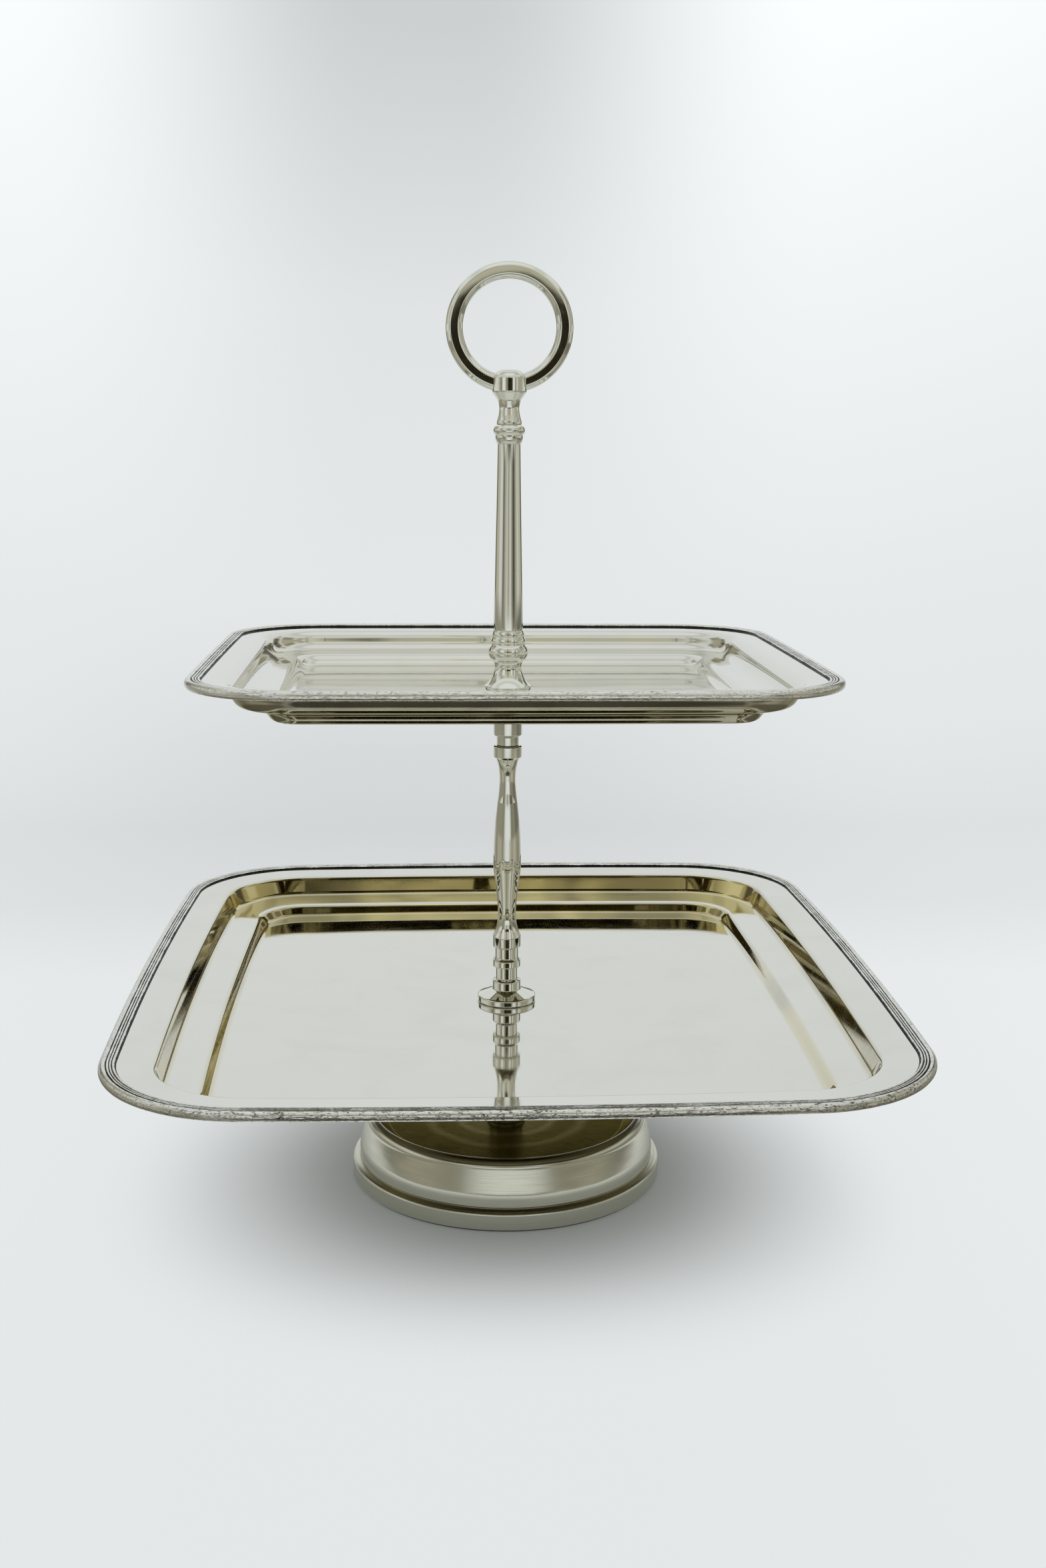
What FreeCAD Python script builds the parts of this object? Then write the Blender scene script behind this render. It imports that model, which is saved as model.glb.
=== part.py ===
import FreeCAD, Part
import math
import os

import Sketcher

# Two-tier rectangular cake stand: a turned foot, two pressed trays with reeded borders, and a turned
# column ending in a ring handle. A tie rod and a stud hold the stack together.
# Millimetres, +Z up. The origin is on the column's axis, on the surface that the foot rests on.

DIMENSIONS = {
    # Foot
    "felt_thickness": 1.0,
    "felt_inner_radius": 60.5,
    "felt_outer_radius": 68.0,
    "rim_radius": 69.2,
    "rim_wall": 6.2,
    "rim_round": 1.2,
    "rim_inner_radius": 57.0,
    "rim_seat_radius": 66.2,
    "rim_seat_height": 8.4,
    "drum_base_radius": 66.0,
    "drum_wall": 2.0,
    "drum_straight": 5.0,
    "drum_shoulder_radius": 63.3,
    "drum_shoulder_height": 15.9,
    "drum_round": 4.08,
    "drum_lip_radius": 60.2,
    "drum_lip_width": 1.4,
    "drum_height": 19.6,
    "dish_edge_height": 18.2,
    "dish_edge_radius": 57.5,
    "dish_floor_height": 15.0,
    "dish_floor_radius": 53.0,
    "dish_centre_height": 14.4,
    "dish_centre_radius": 12.0,
    "dish_thickness": 2.0,
    # Hidden fasteners of the foot
    "rod_radius": 2.0,
    "rod_clearance": 0.08,
    "rod_tail": 4.0,
    "blind_hole_margin": 0.5,
    "clamp_washer_radius": 11.0,
    "clamp_washer_thickness": 1.6,
    "lock_washer_radius": 3.7,
    "lock_washer_thickness": 1.0,
    "lock_washer_gap": 0.8,
    "lock_washer_cut_reach": 4.4,
    "nut_width": 7.0,
    "nut_thickness": 3.2,
    # Pillar and the seat of the lower tray
    "pillar_radius": 7.35,
    "pillar_foot_radius": 8.6,
    "pillar_foot_height": 1.6,
    "support_radius": 20.0,
    "support_thickness": 2.2,
    "support_edge_thickness": 1.2,
    "gasket_radius": 17.0,
    "gasket_thickness": 1.0,
    "face_gap": 0.05,
    # Trays: half sizes at the middle of each side, corner radius, radii of the bowed sides
    "lower_floor_level": 79.6,
    "lower_half_width": 160.0,
    "lower_half_depth": 183.0,
    "lower_corner": 59.3,
    "lower_bow_width": 3300.0,
    "lower_bow_depth": 2300.0,
    "lower_rim_height": 19.3,
    "lower_flange_height": 16.0,
    "lower_upper_wall_foot": 7.0,
    "lower_lower_wall_head": 4.6,
    "lower_flange_inset": 20.3,
    "lower_upper_wall_inset": 23.6,
    "lower_ledge_inset": 36.8,
    "lower_floor_inset": 40.2,
    "upper_floor_level": 218.5,
    "upper_half_width": 128.5,
    "upper_half_depth": 121.8,
    "upper_corner": 44.4,
    "upper_bow_width": 9000.0,
    "upper_bow_depth": 6000.0,
    "upper_rim_height": 17.6,
    "upper_flange_height": 14.4,
    "upper_upper_wall_foot": 6.4,
    "upper_lower_wall_head": 4.4,
    "upper_flange_inset": 17.6,
    "upper_upper_wall_inset": 20.0,
    "upper_ledge_inset": 31.6,
    "upper_floor_inset": 34.6,
    "sheet_thickness": 1.2,
    "sheet_edge_inset": 1.3,
    "flange_rise": 1.3,
    "press_overrun": 3.0,
    "border_width": 7.2,
    "border_height": 3.8,
    "border_lap": 0.9,
    "border_outer_reed": 1.5,
    "border_outer_reed_bend": 1.8,
    "border_reed": 0.6,
    "border_reed_bend": 0.66,
    "border_inner_reed": 0.75,
    "border_inner_reed_bend": 0.83,
    # Lower column
    "bore_radius": 2.1,
    "flange_radius": 12.95,
    "flange_thickness": 3.0,
    "flange_cone_rise": 2.5,
    "flange_cone_radius": 6.3,
    "flange_collar_radius": 6.3,
    "flange_collar_height": 4.1,
    "flange_neck_radius": 4.8,
    "flange_neck_height": 6.1,
    "middle_collar_radius": 6.18,
    "middle_collar_height": 3.4,
    "middle_neck_radius": 5.16,
    "middle_neck_height": 5.7,
    "collar_chamfer": 0.4,
    "baluster_collar_radius": 6.23,
    "baluster_collar_height": 4.9,
    "baluster_low_waist_radius": 4.0,
    "baluster_low_waist_rise": 10.1,
    "baluster_low_waist_bend": 23.0,
    "baluster_belly_foot_radius": 4.66,
    "baluster_belly_foot_rise": 9.0,
    "baluster_slow_bend": 62.0,
    "baluster_belly_side_radius": 5.45,
    "baluster_belly_side_rise": 7.2,
    "baluster_belly_radius": 6.18,
    "baluster_belly_rise": 9.4,
    "baluster_shoulder_radius": 5.4,
    "baluster_shoulder_rise": 17.5,
    "baluster_shoulder_bend": 196.0,
    "baluster_high_side_radius": 4.55,
    "baluster_high_side_rise": 7.5,
    "baluster_high_waist_radius": 3.62,
    "baluster_high_waist_rise": 10.5,
    "baluster_high_waist_bend": 30.0,
    "baluster_flare_radius": 5.1,
    "baluster_flare_rise": 9.1,
    "baluster_head_radius": 6.34,
    "baluster_head_height": 5.85,
    "seat_collar_radius": 6.3,
    "seat_neck_radius": 4.9,
    "seat_neck_height": 3.9,
    "seat_washer_radius": 13.0,
    "seat_washer_thickness": 2.0,
    "seat_gasket_radius": 12.0,
    # Upper column and handle
    "rod_engagement": 13.0,
    "base_foot_radius": 8.9,
    "base_flare_radius": 10.15,
    "base_flare_rise": 3.1,
    "base_flare_bend": 3.0,
    "base_waist_radius": 5.9,
    "base_waist_rise": 8.05,
    "base_waist_bend": 11.5,
    "base_bead_foot_radius": 6.7,
    "base_bead_foot_rise": 2.6,
    "base_bead_height": 7.3,
    "base_bead_bend": 5.0,
    "base_bead_head_radius": 7.35,
    "base_second_bead_height": 3.4,
    "base_second_bead_bend": 4.4,
    "base_third_bead_radius": 6.9,
    "base_third_bead_height": 2.8,
    "base_third_bead_bend": 5.1,
    "tube_foot_radius": 6.4,
    "tube_head_radius": 4.9,
    "tube_length": 78.6,
    "tube_bore_radius": 3.6,
    "collar_foot_radius": 5.1,
    "collar_small_bead_radius": 5.9,
    "collar_small_bead_height": 3.6,
    "collar_small_bead_bend": 5.8,
    "collar_bead_height": 4.3,
    "collar_bead_bend": 2.6,
    "stem_foot_radius": 5.4,
    "stem_foot_height": 1.4,
    "stem_waist_radius": 4.28,
    "stem_waist_rise": 5.4,
    "stem_waist_bend": 17.0,
    "stem_flare_radius": 5.0,
    "stem_flare_rise": 3.4,
    "boss_radius": 7.4,
    "boss_cone_rise": 3.2,
    "boss_height": 6.0,
    "boss_dome_radius": 3.4,
    "boss_dome_rise": 3.2,
    "boss_dome_bend": 6.0,
    "ring_centre_rise": 26.4,
    "ring_outer_radius": 26.4,
    "ring_inner_radius": 19.8,
    "ring_half_thickness": 3.0,
    "ring_face_bend": 6.0,
    "ring_edge_half_thickness": 1.5,
    "ring_flat_inner_radius": 21.6,
    "ring_flat_outer_radius": 24.8,
    "ring_bevel_bend": 3.4,
    "stud_depth": 8.0,
    "stud_gap": 1.0,
}

SHEET_NAME = "Dimensions"
FULL_TURN = 360.0
ZERO_LENGTH = 1e-9

document = FreeCAD.newDocument("CakeStand")


class Size:
    """A number from the sheet, or arithmetic on such numbers, together with its formula."""

    def __init__(self, value, formula):
        self.value = value
        self.formula = formula

    @staticmethod
    def of(number):
        return number if isinstance(number, Size) else Size(float(number), repr(float(number)))

    def __add__(self, other):
        other = Size.of(other)
        return Size(self.value + other.value, "(%s + %s)" % (self.formula, other.formula))

    def __sub__(self, other):
        other = Size.of(other)
        return Size(self.value - other.value, "(%s - %s)" % (self.formula, other.formula))

    def __mul__(self, other):
        other = Size.of(other)
        return Size(self.value * other.value, "(%s * %s)" % (self.formula, other.formula))

    def __truediv__(self, other):
        other = Size.of(other)
        return Size(self.value / other.value, "(%s / %s)" % (self.formula, other.formula))

    def __neg__(self):
        return Size(-self.value, "(0 - %s)" % self.formula)


class Sizes:
    """The sheet's cells, read by their aliases as Size values."""

    def __init__(self, dimensions):
        sheet = document.addObject("Spreadsheet::Sheet", SHEET_NAME)
        for row, (alias, value) in enumerate(dimensions.items(), start=1):
            sheet.set("A%d" % row, alias.replace("_", " "))
            sheet.set("B%d" % row, str(value))
            sheet.setAlias("B%d" % row, alias)
            setattr(self, alias, Size(value, "%s.%s" % (SHEET_NAME, alias)))


size = Sizes(DIMENSIONS)
document.recompute()


# ---- Sketches and features ----


def new_body(label, level=None):
    body = document.addObject("PartDesign::Body", label)
    body.Label = label
    body.Placement = FreeCAD.Placement()
    if level is not None:
        body.setExpression("Placement.Base.z", level.formula)
    return body


def new_sketch(body, name, plane_role, level=None):
    """A sketch on one of the body's origin planes, moved along the plane's normal by level."""
    sketch = body.newObject("Sketcher::SketchObject", name)
    plane = next(f for f in body.Origin.OriginFeatures if f.Role == plane_role)
    sketch.AttachmentSupport = [(plane, "")]
    sketch.MapMode = "FlatFace"
    if level is not None:
        sketch.setExpression("AttachmentOffset.Base.z", level.formula)
    return sketch


def bind(sketch, kind, geometry, point, length):
    """Adds a dimension that follows the sheet. A zero length is held by the axis instead."""
    if kind in ("DistanceX", "DistanceY") and abs(length.value) < ZERO_LENGTH:
        axis = -2 if kind == "DistanceX" else -1
        sketch.addConstraint(Sketcher.Constraint("PointOnObject", geometry, point, axis))
        return
    if point is None:
        index = sketch.addConstraint(Sketcher.Constraint(kind, geometry, length.value))
    else:
        index = sketch.addConstraint(Sketcher.Constraint(kind, geometry, point, length.value))
    sketch.setExpression("Constraints[%d]" % index, length.formula)


def arc_between(start, end, bend):
    """An arc from start to end. It turns left for a positive bend radius and right for a negative one."""
    middle = (start + end) * 0.5
    chord = end - start
    side = math.copysign(1.0, bend)
    rise = math.sqrt(max(bend * bend - chord.Length ** 2 / 4.0, 0.0))
    left = FreeCAD.Vector(-chord.y, chord.x, 0).normalize()
    centre = middle + left * (rise * side)
    first, last = (start, end) if bend > 0 else (end, start)
    low = math.atan2(first.y - centre.y, first.x - centre.x)
    high = math.atan2(last.y - centre.y, last.x - centre.x)
    if high < low:
        high += 2 * math.pi
    circle = Part.Circle(centre, FreeCAD.Vector(0, 0, 1), abs(bend))
    return Part.ArcOfCircle(circle, low, high)


def add_loop(sketch, corners):
    """A closed loop. A corner is (x, y), reached by a line, or (x, y, bend), reached by an arc of that
    signed radius."""
    points = [FreeCAD.Vector(Size.of(c[0]).value, Size.of(c[1]).value, 0) for c in corners]
    edges = []
    for number, corner in enumerate(corners):
        start = points[number - 1]
        end = points[number]
        if len(corner) == 2:
            index = sketch.addGeometry(Part.LineSegment(start, end), False)
            edges.append((index, 1, 2))
        else:
            bend = corner[2].value
            index = sketch.addGeometry(arc_between(start, end, bend), False)
            edges.append((index, 1, 2) if bend > 0 else (index, 2, 1))
    for number, corner in enumerate(corners):
        index, _, end_point = edges[number]
        following, start_point, _ = edges[(number + 1) % len(edges)]
        sketch.addConstraint(Sketcher.Constraint("Coincident", index, end_point, following, start_point))
        bind(sketch, "DistanceX", index, end_point, Size.of(corner[0]))
        bind(sketch, "DistanceY", index, end_point, Size.of(corner[1]))
        if len(corner) == 3:
            bend = corner[2]
            bind(sketch, "Radius", index, None, bend if bend.value > 0 else -bend)


def add_circle(sketch, radius):
    """A circle about the sketch's origin."""
    circle = Part.Circle(FreeCAD.Vector(), FreeCAD.Vector(0, 0, 1), radius.value)
    index = sketch.addGeometry(circle, False)
    sketch.addConstraint(Sketcher.Constraint("Coincident", index, 3, -1, 1))
    bind(sketch, "Radius", index, None, radius)


def add_pad(body, sketch, length):
    pad = body.newObject("PartDesign::Pad", body.Label + "_pad")
    pad.Profile = sketch
    pad.setExpression("Length", length.formula)


def cut_through(body, sketch):
    """Cuts the sketch right through the body, both ways from the sketch's plane."""
    document.recompute()
    before = body.Shape.Volume
    pocket = body.newObject("PartDesign::Pocket", sketch.Label + "_cut")
    pocket.Profile = sketch
    pocket.Type = "ThroughAll"
    pocket.Midplane = True
    document.recompute()
    assert body.Shape.Volume < before


def turned(label, level, corners):
    """A piece turned on a lathe: its half section, as (radius, height) corners, spun about Z."""
    body = new_body(label, level)
    sketch = new_sketch(body, label + "_section", "XZ_Plane")
    add_loop(sketch, corners)
    spin = body.newObject("PartDesign::Revolution", label + "_turning")
    spin.Profile = sketch
    spin.ReferenceAxis = (sketch, ["V_Axis"])
    spin.Angle = FULL_TURN
    return body


def washer(label, level, inner, outer, thickness):
    return turned(label, level, [(inner, 0), (outer, 0), (outer, thickness), (inner, thickness)])


# ---- Foot ----


def foot_felt_ring():
    return washer("foot_felt_ring", None, size.felt_inner_radius, size.felt_outer_radius,
                  size.felt_thickness)


def foot_rim_ring():
    """The plinth: an upright outer wall, a rounded edge and a shallow shelf up to the drum's seat."""
    edge = size.rim_radius - size.rim_round
    return turned("foot_rim_ring", size.felt_thickness, [
        (size.rim_inner_radius, 0),
        (size.rim_radius, 0),
        (size.rim_radius, size.rim_wall),
        (edge, size.rim_wall + size.rim_round, size.rim_round),
        (size.rim_seat_radius, size.rim_seat_height),
        (size.rim_inner_radius, size.rim_seat_height),
    ])


def foot_drum():
    """A spun shell with a flaring side, a rounded shoulder and a shallow recess with a nearly flat
    floor on top."""
    wall = size.drum_wall
    return turned("foot_drum", size.felt_thickness + size.rim_seat_height, [
        (size.drum_base_radius - wall, 0),
        (size.drum_base_radius, 0),
        (size.drum_base_radius, size.drum_straight),
        (size.drum_shoulder_radius, size.drum_shoulder_height),
        (size.drum_lip_radius, size.drum_height, size.drum_round),
        (size.drum_lip_radius - size.drum_lip_width, size.drum_height),
        (size.dish_edge_radius, size.dish_edge_height),
        (size.dish_floor_radius, size.dish_floor_height),
        (size.dish_centre_radius, size.dish_centre_height),
        (size.bore_radius, size.dish_centre_height),
        (size.bore_radius, size.dish_centre_height - size.dish_thickness),
        (size.dish_centre_radius, size.dish_centre_height - size.dish_thickness),
        (size.dish_floor_radius, size.dish_floor_height - size.dish_thickness),
        (size.dish_edge_radius, size.dish_edge_height - size.dish_thickness),
        (size.drum_lip_radius - wall, size.drum_height - size.dish_thickness * 2),
        (size.drum_shoulder_radius - wall, size.drum_shoulder_height - wall),
        (size.drum_base_radius - wall, size.drum_straight - wall),
    ])


FOOT_TOP = size.felt_thickness + size.rim_seat_height + size.dish_centre_height
CLAMP_LEVEL = FOOT_TOP - size.dish_thickness - size.clamp_washer_thickness
LOCK_LEVEL = CLAMP_LEVEL - size.lock_washer_thickness
NUT_LEVEL = LOCK_LEVEL - size.nut_thickness


def foot_clamp_washer():
    return washer("foot_clamp_washer", CLAMP_LEVEL, size.bore_radius, size.clamp_washer_radius,
                  size.clamp_washer_thickness)


def foot_lock_washer():
    """A spring washer: a flat ring with one narrow split."""
    body = washer("foot_lock_washer", LOCK_LEVEL, size.bore_radius, size.lock_washer_radius,
                  size.lock_washer_thickness)
    sketch = new_sketch(body, "foot_lock_washer_split", "XY_Plane")
    half_gap = size.lock_washer_gap / 2
    add_loop(sketch, [
        (0, -half_gap),
        (size.lock_washer_cut_reach, -half_gap),
        (size.lock_washer_cut_reach, half_gap),
        (0, half_gap),
    ])
    cut_through(body, sketch)
    return body


def foot_nut():
    """A hexagonal nut on the tie rod's lower end."""
    body = new_body("foot_nut", NUT_LEVEL)
    sketch = new_sketch(body, "foot_nut_section", "XY_Plane")
    half_width = size.nut_width / 2
    half_side = half_width * math.tan(math.pi / 6)
    corner = half_width / math.cos(math.pi / 6)
    add_loop(sketch, [
        (corner, 0),
        (half_side, half_width),
        (-half_side, half_width),
        (-corner, 0),
        (-half_side, -half_width),
        (half_side, -half_width),
    ])
    add_circle(sketch, size.bore_radius)
    add_pad(body, sketch, size.nut_thickness)
    return body


# ---- Pillar and the lower tray's seat ----

LOWER_TRAY_UNDERSIDE = size.lower_floor_level - size.sheet_thickness
LOWER_GASKET_LEVEL = LOWER_TRAY_UNDERSIDE - size.face_gap - size.gasket_thickness
LOWER_SUPPORT_LEVEL = LOWER_GASKET_LEVEL - size.support_thickness


def foot_pillar():
    """A plain spacer tube with a small spread foot."""
    length = LOWER_SUPPORT_LEVEL - FOOT_TOP
    return turned("foot_pillar", FOOT_TOP, [
        (size.bore_radius, 0),
        (size.pillar_foot_radius, 0),
        (size.pillar_foot_radius, size.pillar_foot_height),
        (size.pillar_radius, size.pillar_foot_height * 2),
        (size.pillar_radius, length),
        (size.bore_radius, length),
    ])


def lower_support_washer():
    """A wide plate that spreads the clamping force under the lower tray."""
    return turned("lower_support_washer", LOWER_SUPPORT_LEVEL, [
        (size.bore_radius, 0),
        (size.pillar_radius, 0),
        (size.support_radius, size.support_thickness - size.support_edge_thickness),
        (size.support_radius, size.support_thickness),
        (size.bore_radius, size.support_thickness),
    ])


def lower_gasket():
    return washer("lower_gasket", LOWER_GASKET_LEVEL, size.bore_radius, size.gasket_radius,
                  size.gasket_thickness)


# ---- Trays ----


class TrayForm:
    """The sizes of one tray. Heights are above its floor, insets are from its outer edge."""

    def __init__(self, tier):
        for name in ("floor_level", "half_width", "half_depth", "corner", "bow_width", "bow_depth",
                     "rim_height", "flange_height", "upper_wall_foot", "lower_wall_head",
                     "flange_inset", "upper_wall_inset", "ledge_inset", "floor_inset"):
            setattr(self, name, getattr(size, "%s_%s" % (tier, name)))
        self.tier = tier
        self.sheet_edge_height = self.flange_height + size.flange_rise

    def stations(self):
        """The pressed surface from the floor outwards, as (inset, height) pairs."""
        return [
            (self.floor_inset, Size.of(0)),
            (self.ledge_inset, self.lower_wall_head),
            (self.upper_wall_inset, self.upper_wall_foot),
            (self.flange_inset, self.flange_height),
        ]


def add_outline(sketch, form, inset):
    """The tray's outline moved inwards by inset: four bowed sides joined by four tangent corners.
    Moving the outline only shortens the radii, because every arc keeps its centre."""
    side_radius = form.bow_width - inset
    end_radius = form.bow_depth - inset
    corner_radius = form.corner - inset
    side_centre = form.half_width - form.bow_width
    end_centre = form.half_depth - form.bow_depth
    reach_side = side_radius.value - corner_radius.value
    reach_end = end_radius.value - corner_radius.value
    across = FreeCAD.Vector(-side_centre.value, end_centre.value, 0)
    span = across.Length
    along = (span ** 2 + reach_side ** 2 - reach_end ** 2) / (2 * span)
    off = math.sqrt(reach_side ** 2 - along ** 2)
    unit = across.normalize()
    start = FreeCAD.Vector(side_centre.value, 0, 0)
    corner_centre = start + unit * along + FreeCAD.Vector(-unit.y, unit.x, 0) * off
    side_angle = math.atan2(corner_centre.y, corner_centre.x - side_centre.value)
    end_angle = math.atan2(corner_centre.y - end_centre.value, corner_centre.x)
    normal = FreeCAD.Vector(0, 0, 1)
    quarter = math.pi / 2
    arcs = []
    for turn in range(4):
        is_side = turn % 2 == 0
        direction = 1 if turn < 2 else -1
        if is_side:
            centre = FreeCAD.Vector(direction * side_centre.value, 0, 0)
            radius = side_radius.value
            half_angle = side_angle
        else:
            centre = FreeCAD.Vector(0, direction * end_centre.value, 0)
            radius = end_radius.value
            half_angle = quarter - end_angle
        facing = turn * quarter
        arcs.append((centre, radius, facing - half_angle, facing + half_angle))
        sign_x = 1 if turn in (0, 3) else -1
        sign_y = 1 if turn in (0, 1) else -1
        centre = FreeCAD.Vector(sign_x * corner_centre.x, sign_y * corner_centre.y, 0)
        next_half = quarter - end_angle if is_side else side_angle
        arcs.append((centre, corner_radius.value, facing + half_angle, facing + quarter - next_half))
    for centre, radius, low, high in arcs:
        sketch.addGeometry(Part.ArcOfCircle(Part.Circle(centre, normal, radius), low, high), False)
    for number in range(len(arcs)):
        following = (number + 1) % len(arcs)
        sketch.addConstraint(Sketcher.Constraint("Tangent", number, 2, following, 1))
    for number, axis in ((0, -1), (4, -1), (2, -2), (6, -2)):
        sketch.addConstraint(Sketcher.Constraint("PointOnObject", number, 3, axis))
    bind(sketch, "DistanceX", 0, 3, side_centre)
    bind(sketch, "DistanceX", 4, 3, -side_centre)
    bind(sketch, "DistanceY", 2, 3, end_centre)
    bind(sketch, "DistanceY", 6, 3, -end_centre)
    bind(sketch, "Radius", 0, None, side_radius)
    bind(sketch, "Radius", 2, None, end_radius)
    bind(sketch, "Radius", 1, None, corner_radius)
    for first, second in ((0, 4), (2, 6), (1, 3), (1, 5), (1, 7)):
        sketch.addConstraint(Sketcher.Constraint("Equal", first, second))


def outline_stack(body, name, form, levels):
    """One outline sketch for each (inset, height) pair."""
    sketches = []
    for number, (inset, height) in enumerate(levels):
        sketch = new_sketch(body, "%s_%d" % (name, number), "XY_Plane", height)
        add_outline(sketch, form, inset)
        sketches.append(sketch)
    return sketches


def add_loft(body, kind, name, sketches):
    loft = body.newObject(kind, name)
    loft.Profile = sketches[0]
    loft.Sections = sketches[1:]
    loft.Ruled = True
    return loft


def pressed_tray(form):
    """A pressed sheet: flat floor, steep wall, sloping ledge, steep wall and a nearly flat flange."""
    label = form.tier + "_tray"
    body = new_body(label, form.floor_level)
    sheet = size.sheet_thickness
    overrun = size.press_overrun
    blank = [(inset - sheet, height - sheet) for inset, height in form.stations()]
    blank.append((size.sheet_edge_inset, form.sheet_edge_height - sheet))
    blank.append((size.sheet_edge_inset, form.sheet_edge_height + overrun))
    outside = outline_stack(body, label + "_outside", form, blank)
    add_loft(body, "PartDesign::AdditiveLoft", label + "_blank", outside)
    document.recompute()
    blank_volume = body.Shape.Volume
    slope = size.flange_rise / (form.flange_inset - size.sheet_edge_inset)
    hollow = form.stations()
    hollow.append((-overrun, form.sheet_edge_height + slope * (size.sheet_edge_inset + overrun)))
    hollow.append((-overrun, form.sheet_edge_height + overrun * 2))
    inside = outline_stack(body, label + "_inside", form, hollow)
    add_loft(body, "PartDesign::SubtractiveLoft", label + "_hollow", inside)
    document.recompute()
    assert body.Shape.Volume < blank_volume
    hole = new_sketch(body, label + "_hole", "XY_Plane")
    add_circle(hole, size.rod_radius + size.rod_clearance)
    cut_through(body, hole)
    return body


def reeded_border(form):
    """The applied border: one broad reed at the edge, two fine ones, and a bead at the inner side.
    Its section runs once round the tray's outline and laps over the edge of the sheet."""
    label = form.tier + "_tray_border"
    body = new_body(label, form.floor_level)
    path = new_sketch(body, label + "_path", "XY_Plane")
    add_outline(path, form, Size.of(0))
    section = new_sketch(body, label + "_section", "XZ_Plane")
    edge = form.half_width
    top = form.rim_height
    bed = form.sheet_edge_height + size.face_gap
    groove = top - size.border_reed
    outer = edge - size.border_outer_reed * 2
    middle = outer - size.border_reed * 2
    inner = middle - size.border_reed * 2
    last = inner - size.border_inner_reed * 2
    add_loop(section, [
        (edge - size.border_lap, top - size.border_height),
        (edge, top - size.border_height / 2, size.border_height / 2),
        (edge - size.border_outer_reed, top, size.border_height / 2),
        (outer, groove, size.border_outer_reed_bend),
        (middle, groove, size.border_reed_bend),
        (inner, groove, size.border_reed_bend),
        (last, groove, size.border_inner_reed_bend),
        (edge - size.border_width, bed),
        (edge - size.sheet_edge_inset + size.face_gap, bed),
        (edge - size.sheet_edge_inset + size.face_gap, top - size.border_height),
    ])
    pipe = body.newObject("PartDesign::AdditivePipe", label + "_sweep")
    pipe.Profile = section
    pipe.Spine = (path, [])
    pipe.Transition = "Right corner"
    return body


# ---- Lower column ----

FLANGE_LEVEL = size.lower_floor_level + size.face_gap
FLANGE_HEIGHT = (size.flange_thickness + size.flange_cone_rise + size.flange_collar_height
                 + size.flange_neck_height)
MIDDLE_LEVEL = FLANGE_LEVEL + FLANGE_HEIGHT
MIDDLE_HEIGHT = size.middle_collar_height + size.middle_neck_height
BALUSTER_LEVEL = MIDDLE_LEVEL + MIDDLE_HEIGHT
UPPER_TRAY_UNDERSIDE = size.upper_floor_level - size.sheet_thickness
SEAT_GASKET_LEVEL = UPPER_TRAY_UNDERSIDE - size.face_gap - size.gasket_thickness
SEAT_WASHER_LEVEL = SEAT_GASKET_LEVEL - size.seat_washer_thickness


def lower_flange():
    """The disc that presses on the lower tray, a shallow cone, a collar and a neck."""
    cone_top = size.flange_thickness + size.flange_cone_rise
    collar_top = cone_top + size.flange_collar_height
    return turned("lower_flange", FLANGE_LEVEL, [
        (size.bore_radius, 0),
        (size.flange_radius - size.collar_chamfer, 0),
        (size.flange_radius, size.collar_chamfer),
        (size.flange_radius, size.flange_thickness - size.collar_chamfer),
        (size.flange_radius - size.collar_chamfer, size.flange_thickness),
        (size.flange_cone_radius, cone_top),
        (size.flange_collar_radius, collar_top - size.collar_chamfer),
        (size.flange_collar_radius - size.collar_chamfer, collar_top),
        (size.flange_neck_radius, collar_top + size.collar_chamfer * 2),
        (size.flange_neck_radius, FLANGE_HEIGHT),
        (size.bore_radius, FLANGE_HEIGHT),
    ])


def lower_collar():
    """A loose collar with a neck above it."""
    chamfer = size.collar_chamfer
    return turned("lower_collar", MIDDLE_LEVEL, [
        (size.bore_radius, 0),
        (size.middle_collar_radius - chamfer, 0),
        (size.middle_collar_radius, chamfer),
        (size.middle_collar_radius, size.middle_collar_height - chamfer),
        (size.middle_collar_radius - chamfer, size.middle_collar_height),
        (size.middle_neck_radius, size.middle_collar_height + chamfer * 2),
        (size.middle_neck_radius, MIDDLE_HEIGHT),
        (size.bore_radius, MIDDLE_HEIGHT),
    ])


def baluster_heights():
    """The heights of the baluster's corners above its base, in order."""
    rises = (size.baluster_collar_height, size.baluster_low_waist_rise, size.baluster_belly_foot_rise,
             size.baluster_belly_side_rise, size.baluster_belly_rise, size.baluster_shoulder_rise,
             size.baluster_high_side_rise, size.baluster_high_waist_rise, size.baluster_flare_rise,
             size.baluster_head_height)
    heights = []
    total = Size.of(0)
    for rise in rises:
        total = total + rise
        heights.append(total)
    return heights


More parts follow.
